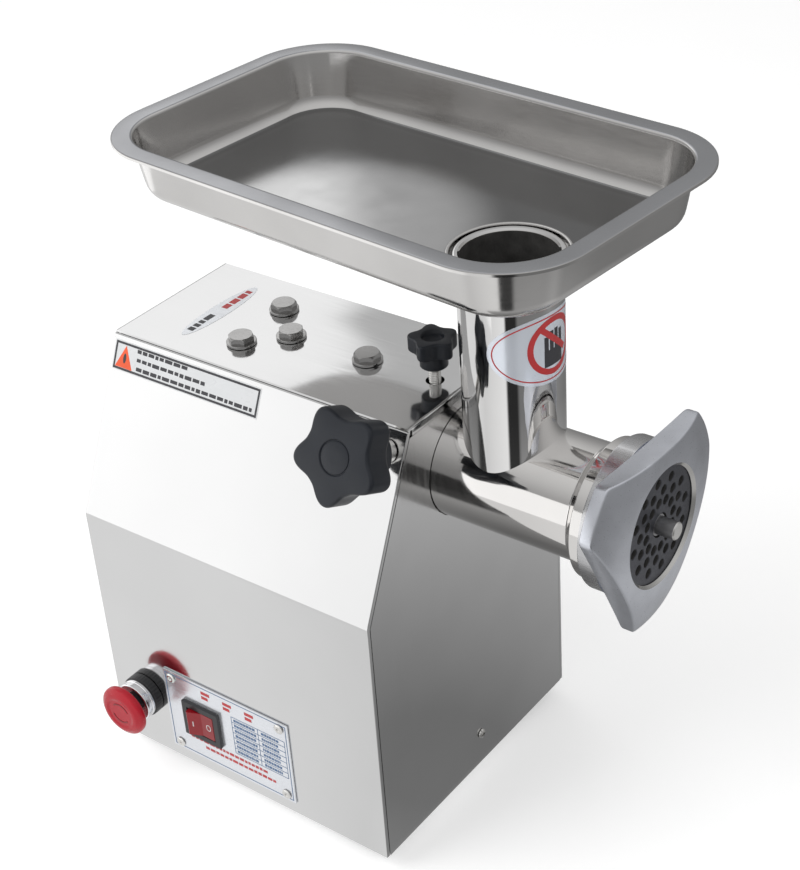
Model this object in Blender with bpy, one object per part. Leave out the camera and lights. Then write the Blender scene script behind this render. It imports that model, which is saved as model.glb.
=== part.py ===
"""Electric meat grinder: geared motor in a sheet-steel housing, a tubular grinding head, and a feed pan.

Lengths are in millimetres until a mesh is made, when they become metres.  The machine's own axes are:
+X forwards along the drive line to the outlet, +Y away from the controls, +Z up, with z = 0 on the bench
and x = 0 in the middle of the housing.  At the end everything is shifted so that the world origin is at
the bottom centre of the whole object's box.
"""

import math

import bmesh
import bpy
from mathutils import Matrix, Vector

MM = 0.001
GAP = 0.3

# Housing
FOOT_HEIGHT = 12.0
HOUSING_LENGTH = 244.0
HOUSING_WIDTH = 220.0
TOP_WIDTH = 111.0
CREASE_HEIGHT = 195.0
HOUSING_HEIGHT = 312.0
SHEET = 1.5
RETURN_FLANGE = 3.0
TOP_LIP = 6.0
FOOT_INSET = 34.0
FOOT_RADIUS = 13.0
VENT_SLOTS, VENT_PITCH, VENT_HALF_LENGTH, VENT_HEIGHT = 6, 11.0, 35.0, 4.0
GLAND_Y, GLAND_Z = -60.0, 52.0

HALF_LENGTH = HOUSING_LENGTH / 2
HALF_WIDTH = HOUSING_WIDTH / 2
Z_BASE = FOOT_HEIGHT
Z_CREASE = Z_BASE + CREASE_HEIGHT
Z_TOP = Z_BASE + HOUSING_HEIGHT
SIDE_TILT = math.atan2(HALF_WIDTH - TOP_WIDTH / 2, Z_TOP - Z_CREASE)

# Drive line, head and feed pan
Z_AXIS = Z_BASE + 261.0
BARREL_RADIUS = 38.0
BARREL_BORE = 32.5
SOCKET_BACK, SOCKET_FRONT = 41.3, 120.0
HEAD_BACK = 70.0
THREAD_RADIUS = 45.0
BARREL_END = 258.0
PLATE_RADIUS = 41.0
PLATE_THICKNESS = 8.0
PLATE_FRONT = 262.8
HOLE_RADIUS = 3.25
HOLE_RINGS = ((16.0, 5.0), (23.5, 20.0), (30.5, 5.0))
HOLES_PER_RING = 12
NUT_FRONT = 265.4
NUT_OPENING = 37.7
NUT_RADIUS = 73.3
NUT_LOBE_ANGLE = 147.4
NUT_LOBE_HALF_WIDTH = 13.8
NUT_WAIST = 50.2
NUT_DOME = 8.5
STUD_END = 275.0
FEED_X = 161.0
FEED_RADIUS = 31.8
FEED_BORE = 29.0
FEED_LIP_RADIUS = 33.5
Z_FEED_TOP = Z_BASE + 417.0
PAN_LENGTH = 354.8
PAN_WIDTH = 218.8
PAN_CORNER = 55.0
PAN_CENTRE = (-94.6, 17.8)
PAN_YAW = math.radians(-5.19)
PAN_DEPTH = 40.0
PAN_SHEET = 1.4
Z_PAN_RIM = Z_BASE + 455.0

# Gear train: one layshaft between the rotor's pinion and the output gear
MODULE = 2.5
TEETH_ROTOR, TEETH_LAY_IN, TEETH_LAY_OUT, TEETH_OUTPUT = 12, 40, 13, 32
Z_LAY = Z_AXIS - MODULE * (TEETH_LAY_OUT + TEETH_OUTPUT) / 2
Z_ROTOR = Z_LAY - MODULE * (TEETH_ROTOR + TEETH_LAY_IN) / 2
STAGE_ONE = (-20.0, -6.0)
STAGE_TWO = (10.0, 30.0)
GEARBOX_BACK, GEARBOX_FRONT = -33.0, 33.0
MOTOR_BACK = -106.0
MOTOR_RADIUS = 68.0

# Controls and fasteners
ESTOP_X, ESTOP_Z = -91.0, Z_BASE + 48.0
ESTOP_COLLAR_RADIUS, ESTOP_RING_RADIUS, ESTOP_HEAD_RADIUS = 16.0, 15.0, 19.4
ESTOP_STEM_RADIUS, ESTOP_STEM_WAY = 7.5, 8.2
ESTOP_HEAD_BACK, ESTOP_HEAD_FRONT = 21.0, 28.5
SWITCH_X, SWITCH_Z = -35.8, Z_BASE + 45.9
SWITCH_SIZE = (33.0, 30.0)
ROCKER_TILT = math.radians(11)
NAME_PLATE = (-69.1, Z_BASE + 10.3, 44.6, Z_BASE + 80.8)
RIVET_INSET = (7.5, 5.5)
SIDE_KNOB_X, SIDE_KNOB_RISE = 110.0, 6.1
SIDE_KNOB_RADIUS = 31.0
SIDE_KNOB_PHASE = math.radians(195)
TOP_KNOB_X = 102.0
TOP_KNOB_RADIUS = 16.0
TOP_KNOB_PHASE = math.radians(60)
BOLT_CORNER, BOLT_HEAD_TOP, WASHER_RADIUS, BOLT_SHANK = 8.9, 6.4, 10.1, 4.6
TAPPED_RADIUS = 4.9
TOP_BOLTS = ((-35.3, -26.1), (-39.3, 22.7), (-11.7, -3.3), (50.5, -2.1))
FRONT_SCREW = (3.0, Z_BASE + 26.0)

STEEL = ("polished_steel", (0.72, 0.71, 0.69), 1.0, 0.25)
SHEET_STEEL = ("sheet_steel", (0.78, 0.78, 0.78), 1.0, 0.3)
CAST_STEEL = ("cast_steel", (0.62, 0.63, 0.66), 1.0, 0.45)
ALUMINIUM = ("cast_aluminium", (0.6, 0.6, 0.6), 1.0, 0.55)
BLACK = ("black_plastic", (0.03, 0.03, 0.035), 0.0, 0.45)
RED = ("red_plastic", (0.6, 0.02, 0.03), 0.0, 0.35)
RUBBER = ("rubber", (0.03, 0.03, 0.03), 0.0, 0.8)
BRONZE = ("bronze", (0.6, 0.42, 0.2), 1.0, 0.4)
GREY_PAINT = ("grey_paint", (0.25, 0.27, 0.3), 0.0, 0.5)
LAMINATION = ("lamination", (0.3, 0.3, 0.32), 1.0, 0.6)
LABEL_WHITE = ("label_white", (0.85, 0.87, 0.9), 0.0, 0.4)

ALONG_X = Matrix(((0, 0, 1, 0), (1, 0, 0, 0), (0, 1, 0, 0), (0, 0, 0, 1)))


for old in list(bpy.data.objects):
    bpy.data.objects.remove(old, do_unlink=True)
machine = bpy.data.objects.new("machine", None)
bpy.context.scene.collection.objects.link(machine)


def material(name, colour, metallic, roughness):
    found = bpy.data.materials.get(name)
    if found:
        return found
    made = bpy.data.materials.new(name)
    made.use_nodes = True
    shader = made.node_tree.nodes["Principled BSDF"]
    shader.inputs["Base Color"].default_value = (*colour, 1.0)
    shader.inputs["Metallic"].default_value = metallic
    shader.inputs["Roughness"].default_value = roughness
    return made


def solid(name, finish, points, faces, matrix=None):
    """A closed mesh object from points in millimetres, moved by matrix, with its faces turned outwards."""
    mesh = bpy.data.meshes.new(name)
    mesh.from_pydata([Vector(p) for p in points], [], faces)
    mesh.transform(matrix or Matrix())
    mesh.transform(Matrix.Scale(MM, 4))
    face_outwards(mesh)
    mesh.materials.append(material(*finish))
    obj = bpy.data.objects.new(name, mesh)
    bpy.context.scene.collection.objects.link(obj)
    obj.parent = machine
    smooth(obj)
    return obj


def face_outwards(mesh):
    work = bmesh.new()
    work.from_mesh(mesh)
    bmesh.ops.recalc_face_normals(work, faces=work.faces)
    if work.calc_volume(signed=True) < 0:
        bmesh.ops.reverse_faces(work, faces=work.faces)
    work.to_mesh(mesh)
    work.free()


def smooth(obj):
    obj.data.shade_smooth()
    obj.data.set_sharp_from_angle(angle=math.radians(32))


def loft(name, finish, rings, matrix=None):
    """Quads between rings of equally many points, with an n-gon closing each end."""
    count = len(rings[0])
    points = [p for ring in rings for p in ring]
    faces = [tuple(range(count)), tuple(range(len(points) - count, len(points)))]
    for r in range(len(rings) - 1):
        for i in range(count):
            j = (i + 1) % count
            low, high = r * count, (r + 1) * count
            faces.append((low + i, low + j, high + j, high + i))
    return solid(name, finish, points, faces, matrix)


def closed_loft(name, finish, rings, matrix=None):
    """Quads between rings, and from the last ring back to the first: a tube-like body that needs no caps."""
    count, total = len(rings[0]), len(rings)
    points = [p for ring in rings for p in ring]
    faces = []
    for r in range(total):
        low, high = r * count, (r + 1) % total * count
        for i in range(count):
            j = (i + 1) % count
            faces.append((low + i, low + j, high + j, high + i))
    return solid(name, finish, points, faces, matrix)


def circle(radius, count, height=0.0, phase=0.0):
    steps = (2 * math.pi * i / count + phase for i in range(count))
    return [(radius * math.cos(a), radius * math.sin(a), height) for a in steps]


def turned(name, finish, profile, matrix=None, count=32):
    """A solid of revolution about local Z from (height, radius) points, first end to last, both ends capped."""
    return loft(name, finish, [circle(r, count, h) for h, r in profile], matrix)


def ring(name, finish, profile, matrix=None, count=32):
    """A hollow solid of revolution: the (height, radius) profile is a closed loop that stays off the axis."""
    return closed_loft(name, finish, [circle(r, count, h) for h, r in profile], matrix)


def tube(name, finish, low, high, inner, outer, matrix=None, count=32):
    return ring(name, finish, [(low, outer), (high, outer), (high, inner), (low, inner)], matrix, count)


def prism(name, finish, outline, low, high, matrix=None):
    """A 2-D outline extruded from low to high along local Z."""
    return loft(name, finish, [[(u, v, h) for u, v in outline] for h in (low, high)], matrix)


def box(name, finish, low, high):
    (x0, y0, z0), (x1, y1, z1) = low, high
    return prism(name, finish, [(x0, y0), (x1, y0), (x1, y1), (x0, y1)], z0, z1)


def boolean(target, tools, operation):
    """Applies Booleans one after another, and removes each tool."""
    for tool in tools:
        modifier = target.modifiers.new(operation.title(), "BOOLEAN")
        modifier.operation = operation
        modifier.solver = "EXACT"
        modifier.object = tool
        bpy.context.view_layer.update()
        evaluated = target.evaluated_get(bpy.context.evaluated_depsgraph_get())
        result = bpy.data.meshes.new_from_object(evaluated)
        target.modifiers.remove(modifier)
        target.data = result
        bpy.data.objects.remove(tool, do_unlink=True)
    smooth(target)
    return target


def cut(target, *tools):
    return boolean(target, tools, "DIFFERENCE")


def join(target, *tools):
    return boolean(target, tools, "UNION")


def pivot(obj, point, rotation=None):
    """Puts the object's origin, and local axes, on its joint without moving its surface."""
    frame = Matrix.Translation(Vector(point) * MM) @ (rotation or Matrix())
    obj.data.transform(frame.inverted())
    obj.matrix_basis = frame
    return obj


def at_x(y, z):
    """Local Z along machine X, at height z."""
    return Matrix.Translation((0, y, z)) @ ALONG_X


def drive_line():
    return at_x(0, Z_AXIS)


def upright(x, y, z=0.0):
    return Matrix.Translation((x, y, z))


def outwards(x, z, y=-HALF_WIDTH):
    """Local Z along -Y, away from the control panel."""
    return Matrix.Translation((x, y, z)) @ Matrix.Rotation(math.radians(90), 4, "X")


def square_to_panel():
    """Turns local Z square to the slanted control-side panel, and local Y up along it."""
    return Matrix.Rotation(math.radians(90) - SIDE_TILT, 4, "X")


def side_knob_frame():
    """Local Z is the side knob's axis, just above the drive line; z = 0 is level with that line."""
    return Matrix.Translation((SIDE_KNOB_X, 0, Z_AXIS)) @ square_to_panel() @ upright(0, SIDE_KNOB_RISE)


def side_knob_panel_distance():
    """Distance from the drive line to the slanted panel's outer face."""
    above_crease = Z_AXIS - Z_CREASE
    return HALF_WIDTH * math.cos(SIDE_TILT) - above_crease * math.sin(SIDE_TILT)


# ---------------------------------------------------------------- housing


def side_line(offset, low, high):
    """(y, z) points of the control side's skin, moved inwards by offset, from z = low to z = high."""
    crease = Z_CREASE - offset * math.tan(SIDE_TILT / 2)
    top = -HALF_WIDTH + (high - Z_CREASE) * math.tan(SIDE_TILT) + offset / math.cos(SIDE_TILT)
    return [(-HALF_WIDTH + offset, low), (-HALF_WIDTH + offset, crease), (top, high)]


def side_panel(name, side):
    """A folded sheet with narrow return flanges at both ends; side is 1 at the controls and -1 opposite."""
    top = Z_TOP - SHEET - GAP
    low, high = Z_BASE - 5, top + 5
    outline = side_line(0, Z_BASE, top) + side_line(RETURN_FLANGE, Z_BASE, top)[::-1]
    hollow = side_line(SHEET, low, high) + side_line(3 * RETURN_FLANGE, low, high)[::-1]
    mirror = [(side * y, z) for y, z in outline]
    cavity = [(side * y, z) for y, z in hollow]
    panel = prism(name, SHEET_STEEL, mirror, -HALF_LENGTH, HALF_LENGTH, ALONG_X)
    inside = HALF_LENGTH - SHEET
    return cut(panel, prism("inside", SHEET_STEEL, cavity, -inside, inside, ALONG_X))


def end_panel(name, outside_x, top):
    inner_x = outside_x - math.copysign(SHEET, outside_x)
    left = side_line(RETURN_FLANGE + GAP, Z_BASE, top)
    outline = left + [(-y, z) for y, z in left[::-1]]
    return prism(name, SHEET_STEEL, outline, min(inner_x, outside_x), max(inner_x, outside_x), ALONG_X)


def rivet_places():
    x0, z0, x1, z1 = NAME_PLATE
    dx, dz = RIVET_INSET
    return [(x, z) for x in (x0 + dx, x1 - dx) for z in (z0 + dz, z1 - dz)]


def build_housing():
    control = side_panel("control_side_panel", 1)
    sx, sz = SWITCH_SIZE
    opening = box(
        "switch_opening", BLACK, (SWITCH_X - sx / 2 + 2.5, -HALF_WIDTH - 5, SWITCH_Z - sz / 2 + 2.5),
        (SWITCH_X + sx / 2 - 2.5, -HALF_WIDTH + 5, SWITCH_Z + sz / 2 - 2.5),
    )
    estop = turned("estop_hole", BLACK, [(-8, 11.2), (8, 11.2)], outwards(ESTOP_X, ESTOP_Z), 24)
    clamp = turned("clamp_hole", BLACK, [(-20, 6.5), (20, 6.5)],
                   side_knob_frame() @ upright(0, 0, side_knob_panel_distance()), 20)
    cut(control, opening, estop, clamp)
    side_panel("plain_side_panel", -1)

    front = end_panel("front_panel", HALF_LENGTH, Z_TOP - TOP_LIP - GAP)
    clear = BARREL_RADIUS + 2 * GAP
    socket = turned("socket_hole", BLACK, [(100, clear), (140, clear)], drive_line(), 48)
    screw = turned("screw_hole", BLACK, [(100, 2.3), (140, 2.3)], at_x(*FRONT_SCREW), 12)
    cut(front, socket, screw)

    rear = end_panel("rear_panel", -HALF_LENGTH, Z_TOP - TOP_LIP - GAP)
    for i in range(VENT_SLOTS):
        z = Z_BASE + 100 + VENT_PITCH * i
        cut(rear, box("vent_slot", BLACK, (-HALF_LENGTH - 5, -VENT_HALF_LENGTH, z),
                      (-HALF_LENGTH + 5, VENT_HALF_LENGTH, z + VENT_HEIGHT)))
    cut(rear, turned("gland_hole", BLACK, [(-140, 8.3), (-100, 8.3)], at_x(GLAND_Y, GLAND_Z), 20))
    build_top_plate()
    build_base()


def build_top_plate():
    half = TOP_WIDTH / 2
    plate = box("top_plate", SHEET_STEEL, (-HALF_LENGTH, -half, Z_TOP - SHEET), (HALF_LENGTH, half, Z_TOP))
    for end in (-1, 1):
        low, high = Z_TOP - TOP_LIP, Z_TOP - SHEET / 2
        left = side_line(RETURN_FLANGE + GAP, low, Z_TOP - SHEET - GAP)[:1:-1]
        left += [(left[0][0] - (left[0][1] - low) * math.tan(SIDE_TILT), low)]
        left.insert(0, (left[0][0], high))
        outline = left + [(-y, z) for y, z in left[::-1]]
        inner = end * (HALF_LENGTH - SHEET)
        outer = end * HALF_LENGTH
        join(plate, prism("lip", SHEET_STEEL, outline, min(inner, outer), max(inner, outer), ALONG_X))
    for x, y in TOP_BOLTS:
        cut(plate, turned("bolt_hole", BLACK, [(Z_TOP - 10, 5.5), (Z_TOP + 10, 5.5)], upright(x, y), 16))
    cut(plate, turned("knob_hole", BLACK, [(Z_TOP - 10, 6.0), (Z_TOP + 10, 6.0)], upright(TOP_KNOB_X, 0), 24))


def foot_places():
    x, y = HALF_LENGTH - FOOT_INSET, HALF_WIDTH - FOOT_INSET
    return [(x, y), (x, -y), (-x, y), (-x, -y)]


def build_base():
    half_x, half_y = HALF_LENGTH - SHEET - GAP, HALF_WIDTH - SHEET - GAP
    base = box("base_plate", SHEET_STEEL, (-half_x, -half_y, Z_BASE), (half_x, half_y, Z_BASE + 2))
    profile = [(0, FOOT_RADIUS - 1), (2, FOOT_RADIUS), (FOOT_HEIGHT - GAP, FOOT_RADIUS - 2),
               (FOOT_HEIGHT - GAP, 3.5), (FOOT_HEIGHT + 5, 3.0)]
    for number, (x, y) in enumerate(foot_places(), 1):
        cut(base, turned("foot_hole", BLACK, [(Z_BASE - 5, 4.0), (Z_BASE + 7, 4.0)], upright(x, y), 16))
        turned(f"rubber_foot_{number}", RUBBER, profile, upright(x, y), 14)
    for x in (-90, -50):
        cut(base, box("base_vent", BLACK, (x, -30, Z_BASE - 5), (x + 8, 30, Z_BASE + 7)))


def hexagon(radius, phase=0.0):
    """Corners of a hexagon; radius reaches to a corner."""
    return [(x, y) for x, y, _ in circle(radius, 6, 0, phase)]


def build_fasteners():
    for number, (x, y) in enumerate(TOP_BOLTS, 1):
        place = upright(x, y, Z_TOP + GAP)
        bolt = prism(f"top_bolt_{number}", STEEL, hexagon(BOLT_CORNER, 0.4 * number), 1.5, BOLT_HEAD_TOP, place)
        join(bolt, turned("washer", STEEL, [(0, WASHER_RADIUS), (1.8, WASHER_RADIUS)], place, 16))
        join(bolt, turned("shank", STEEL, [(-6, BOLT_SHANK), (1, BOLT_SHANK)], place, 10))
    turned("front_screw", STEEL, [(112, 1.9), (HALF_LENGTH + GAP, 1.9), (HALF_LENGTH + GAP, 3.6),
                                  (HALF_LENGTH + 1.6, 3.2), (HALF_LENGTH + 2.4, 1.6)], at_x(*FRONT_SCREW), 10)
    gland = [(-139, 4.6), (-139, 8.5), (-130, 9.5), (-128, 11), (-HALF_LENGTH - GAP, 11),
             (-HALF_LENGTH - GAP, 7.8), (-112, 7.8), (-112, 4.6)]
    ring("cord_gland", BLACK, gland, at_x(GLAND_Y, GLAND_Z), 14)


# ---------------------------------------------------------------- gearbox and motor


def hull_outline(circles, steps=12):
    """Outline round circles (z, radius) stacked on the Z axis, largest height first, as (y, z) points."""
    right = []
    for index, (z, radius) in enumerate(circles):
        above = circles[index - 1] if index else None
        below = circles[index + 1] if index + 1 < len(circles) else None
        start = math.pi / 2 if above is None else tangent_angle(above, (z, radius))
        end = -math.pi / 2 if below is None else tangent_angle((z, radius), below)
        for i in range(steps // 2 + 1):
            a = start + (end - start) * 2 * i / steps
            right.append((radius * math.cos(a), z + radius * math.sin(a)))
    return right + [(-y, z) for y, z in right[-2:0:-1]]


def tangent_angle(upper, lower):
    return math.asin((lower[1] - upper[1]) / (upper[0] - lower[0]))


def gear_outline(teeth, phase):
    """Involute teeth of MODULE and 20 degrees, thinned for backlash; phase turns a tooth to that angle."""
    pitch = MODULE * teeth / 2
    base = pitch * math.cos(math.radians(20))
    root, tip = pitch - 1.25 * MODULE, pitch + 0.95 * MODULE
    backlash = 0.4 / pitch

    def involute(radius):
        return math.tan(math.acos(base / radius)) - math.acos(base / radius)

    half_at_pitch = math.pi / 2 / teeth - backlash / 2
    points = []
    for tooth in range(teeth):
        centre = phase + 2 * math.pi * tooth / teeth
        flank = []
        for radius in (max(base, root + 0.1) * 1.0001, tip):
            flank.append((radius, half_at_pitch + involute(pitch) - involute(radius)))
        foot = (root, min(flank[0][1] + 0.15 * MODULE / pitch, 0.98 * math.pi / teeth))
        for radius, half in [foot] + flank:
            points.append((radius, centre - half))
        for radius, half in flank[::-1] + [foot]:
            points.append((radius, centre + half))
    return [(r * math.cos(a), r * math.sin(a)) for r, a in points]


UP, DOWN = math.pi / 2, -math.pi / 2


def build_gearbox():
    shell = [(Z_AXIS, 49.2), (Z_LAY, 59.0), (Z_ROTOR, 30.0)]
    outline = hull_outline(shell)
    housing = prism("gearbox_housing", ALUMINIUM, outline, GEARBOX_BACK, GEARBOX_FRONT, ALONG_X)
    flange_radius = MOTOR_RADIUS + 2
    flange = turned("motor_flange", ALUMINIUM, [(GEARBOX_BACK, flange_radius), (GEARBOX_BACK + 7, flange_radius)],
                    at_x(0, Z_ROTOR), 28)
    hanger = box("hanger", ALUMINIUM, (-47, -39, Z_TOP - 14), (GEARBOX_FRONT, 32, Z_TOP - SHEET - GAP))
    join(housing, flange, hanger)
    inside = hull_outline([(Z_LAY, 53.2), (Z_ROTOR, 21.0)])
    stage_one = prism("stage_one_space", ALUMINIUM, inside, -21, 60, ALONG_X)
    stage_two = turned("stage_two_space", ALUMINIUM, [(8, 43.6), (60, 43.6)], drive_line(), 28)
    pockets = [
        turned("lay_pocket", ALUMINIUM, [(-31, 14.3), (-15, 14.3)], at_x(0, Z_LAY), 20),
        turned("output_pocket", ALUMINIUM, [(-7, 14.3), (15, 14.3)], drive_line(), 20),
        turned("rotor_pocket", ALUMINIUM, [(-60, 16.3), (-15, 16.3)], at_x(0, Z_ROTOR), 20),
    ]
    bolt_holes = [turned("tapped", ALUMINIUM, [(Z_TOP - 9, TAPPED_RADIUS), (Z_TOP + 9, TAPPED_RADIUS)],
                         upright(x, y), 12)
                  for x, y in TOP_BOLTS[:3]]
    cut(housing, stage_one, stage_two, *pockets, *bolt_holes)

    front = GEARBOX_FRONT + GAP
    cover = prism("gearbox_cover", ALUMINIUM, outline, front, front + 7.7, ALONG_X)
    cut(cover, turned("shaft_hole", ALUMINIUM, [(20, 13.0), (60, 13.0)], drive_line(), 24),
        turned("lay_front_pocket", ALUMINIUM, [(20, 14.3), (38.9, 14.3)], at_x(0, Z_LAY), 20))

    for name, z, low, high, inner, outer in (
        ("rotor_bearing_front", Z_ROTOR, -30.0, -22.0, 8.7, 16.0),
        ("rotor_bearing_rear", Z_ROTOR, -112.0, -105.0, 7.6, 16.0),
        ("layshaft_bearing_rear", Z_LAY, -30.0, -22.5, 7.6, 14.0),
        ("layshaft_bearing_front", Z_LAY, 33.2, 38.6, 7.6, 14.0),
        ("output_bearing_rear", Z_AXIS, -5.0, 5.0, 7.6, 14.0),
        ("output_bearing_front", Z_AXIS, 42.0, 54.0, 12.7, 22.0),
    ):
        tube(name, STEEL, low, high, inner, outer, at_x(0, z), 16)
    build_shafts()


def build_shafts():
    lay_pinion = prism("layshaft", CAST_STEEL, gear_outline(TEETH_LAY_OUT, UP), 9, 31, at_x(0, Z_LAY))
    join(lay_pinion, turned("journals", STEEL, [(-30, 7.0), (-21.5, 7.0), (-21.5, 9.0), (20, 9.0),
                                                (20, 7.0), (38.6, 7.0)], at_x(0, Z_LAY), 20))
    wheel = prism("intermediate_gear", CAST_STEEL, gear_outline(TEETH_LAY_IN, DOWN), *STAGE_ONE, at_x(0, Z_LAY))
    cut(wheel, turned("bore", STEEL, [(-40, 9.3), (40, 9.3)], at_x(0, Z_LAY), 20))

    output = prism("output_gear", CAST_STEEL, gear_outline(TEETH_OUTPUT, DOWN + math.pi / TEETH_OUTPUT),
                   *STAGE_TWO, drive_line())
    cut(output, turned("bore", STEEL, [(0, 12.6), (60, 12.6)], drive_line(), 24))
    journals = [(-5, 7.0), (7, 7.0), (7, 12.0), (56, 12.0), (56, 16.0), (78, 16.0)]
    shaft = turned("output_shaft", STEEL, journals, drive_line(), 24)
    cut(shaft, box("drive_square", STEEL, (62, -6.2, Z_AXIS - 6.2), (90, 6.2, Z_AXIS + 6.2)))

    rotor = prism("rotor_shaft", CAST_STEEL, gear_outline(TEETH_ROTOR, UP + math.pi / TEETH_ROTOR),
                  STAGE_ONE[0] - 1, STAGE_ONE[1], at_x(0, Z_ROTOR))
    core = [(-116, 7.0), (-95, 7.0), (-95, 38.0), (-50, 38.0), (-50, 8.0), (-15, 8.0)]
    join(rotor, turned("core", LAMINATION, core, at_x(0, Z_ROTOR), 20))
    for obj, z in ((lay_pinion, Z_LAY), (wheel, Z_LAY), (output, Z_AXIS), (shaft, Z_AXIS), (rotor, Z_ROTOR)):
        pivot(obj, (0, 0, z))


def build_motor():
    place = at_x(0, Z_ROTOR)
    tube("motor_shell", GREY_PAINT, MOTOR_BACK, GEARBOX_BACK - GAP, MOTOR_RADIUS - 3, MOTOR_RADIUS, place, 28)
    tube("stator_core", LAMINATION, -94, -51, 39.0, MOTOR_RADIUS - 4.0, place, 24)
    shield = [(MOTOR_BACK - GAP, MOTOR_RADIUS), (MOTOR_BACK - 3, MOTOR_RADIUS), (MOTOR_BACK - 7, 20),
              (MOTOR_BACK - 7, 16.4), (MOTOR_BACK - GAP, 16.4)]
    ring("motor_rear_shield", ALUMINIUM, shield, place, 24)
    fan = turned("cooling_fan", BLACK, [(-103.5, 14), (-98, 14)], place, 20)
    for i in range(6):
        turn = Matrix.Rotation(2 * math.pi * i / 6, 4, "X")
        blade = box("blade", BLACK, (-103.5, -1.2, 12), (-98, 1.2, 34))
        blade.data.transform(Matrix.Translation((0, 0, Z_ROTOR * MM)) @ turn)
        join(fan, blade)
    cut(fan, turned("fan_bore", BLACK, [(-120, 7.3), (-80, 7.3)], place, 20))
    pivot(fan, (0, 0, Z_ROTOR))
    capacitor = [(-100, 16.5), (-100, 17.5), (-32, 17.5), (-31, 16.5), (-31, 5), (-28, 4.5)]
    turned("run_capacitor", BLACK, capacitor, at_x(50, 45), 14)


# ---------------------------------------------------------------- grinding head


def build_socket():
    bore = BARREL_RADIUS + GAP
    profile = [(SOCKET_BACK, 50.0), (48, 50.0), (48, 45.0), (SOCKET_FRONT, 45.0), (SOCKET_FRONT, bore),
               (60, bore), (60, 22.3), (SOCKET_BACK, 22.3)]
    socket = ring("head_socket", STEEL, profile, drive_line(), 32)
    trim = box("flange_trim", STEEL, (30, -60, Z_TOP - 11), (49, 60, Z_TOP + 20))
    boss = box("hanger_boss", STEEL, (42, -12, Z_AXIS + 40), (60, 8, Z_TOP - SHEET - GAP))
    cut(socket, trim)
    join(socket, boss)
    tapped = turned("tapped", STEEL, [(Z_TOP - 9, TAPPED_RADIUS), (Z_TOP + 9, TAPPED_RADIUS)],
                    upright(*TOP_BOLTS[3]), 12)
    top_hole = turned("top_hole", STEEL, [(Z_AXIS + 20, 4.3), (Z_TOP, 4.3)], upright(TOP_KNOB_X, 0), 16)
    side_hole = turned("side_hole", STEEL, [(20, 5.3), (64, 5.3)], side_knob_frame(), 16)
    cut(socket, tapped, top_hole, side_hole)


def build_head():
    outer = [(HEAD_BACK, BARREL_RADIUS - 1.5), (HEAD_BACK + 1.5, BARREL_RADIUS), (221, BARREL_RADIUS),
             (227, THREAD_RADIUS), (BARREL_END, THREAD_RADIUS)]
    head = turned("grinder_head", STEEL, outer, drive_line(), 36)
    seat, lip = Z_FEED_TOP - 20, Z_FEED_TOP - 5
    neck = [(Z_AXIS, FEED_RADIUS), (seat, FEED_RADIUS), (seat, 36.5), (seat + 4, 36.5), (seat + 4, FEED_RADIUS),
            (lip, FEED_RADIUS), (lip, FEED_LIP_RADIUS), (Z_FEED_TOP, FEED_LIP_RADIUS)]
    neck = turned("neck", STEEL, neck, upright(FEED_X, 0), 28)
    join(head, neck)
    recess = PLATE_RADIUS + GAP
    bore = [(60, 22.3), (126, 22.3), (126, BARREL_BORE), (245.5, BARREL_BORE), (245.5, recess),
            (BARREL_END + 10, recess)]
    bore = turned("bore", STEEL, bore, drive_line(), 32)
    feed = [(Z_AXIS, FEED_BORE), (Z_FEED_TOP + 10, FEED_BORE)]
    feed = turned("feed", STEEL, feed, upright(FEED_X, 0), 28)
    cut(head, bore, feed)
    tube("worm_bush", BRONZE, 82, 125, 12.9, 22.0, drive_line(), 20)

    plate_back = PLATE_FRONT - PLATE_THICKNESS
    plate = tube("hole_plate", CAST_STEEL, plate_back, PLATE_FRONT, 8.0, PLATE_RADIUS, drive_line(), 32)
    holes = None
    for radius, phase in HOLE_RINGS:
        for i in range(HOLES_PER_RING):
            a = math.radians(phase + 360 * i / HOLES_PER_RING)
            place = at_x(radius * math.cos(a), Z_AXIS + radius * math.sin(a))
            drill = turned("drill", STEEL, [(240, HOLE_RADIUS), (280, HOLE_RADIUS)], place, 6)
            holes = merge(holes, drill) if holes else drill
    cut(plate, holes)


def merge(first, second):
    """One object from two that don't touch, so that they cut together."""
    work = bmesh.new()
    for obj in (first, second):
        work.from_mesh(obj.data)
    work.to_mesh(first.data)
    work.free()
    bpy.data.objects.remove(second, do_unlink=True)
    return first


def worm_ring(x, angle, core, flight, lobe_half_width):
    """Cross-section of the feed screw: a round core with one lobe, which is the flight cut across."""
    points = []
    for i in range(8):
        a = angle + lobe_half_width * 1.25 + (2 * math.pi - 2.5 * lobe_half_width) * i / 7
        points.append((x, core * math.cos(a), Z_AXIS + core * math.sin(a)))
    for i in range(4):
        a = angle - lobe_half_width + lobe_half_width * i / 1.5
        points.append((x, flight * math.cos(a), Z_AXIS + flight * math.sin(a)))
    return points


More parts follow.
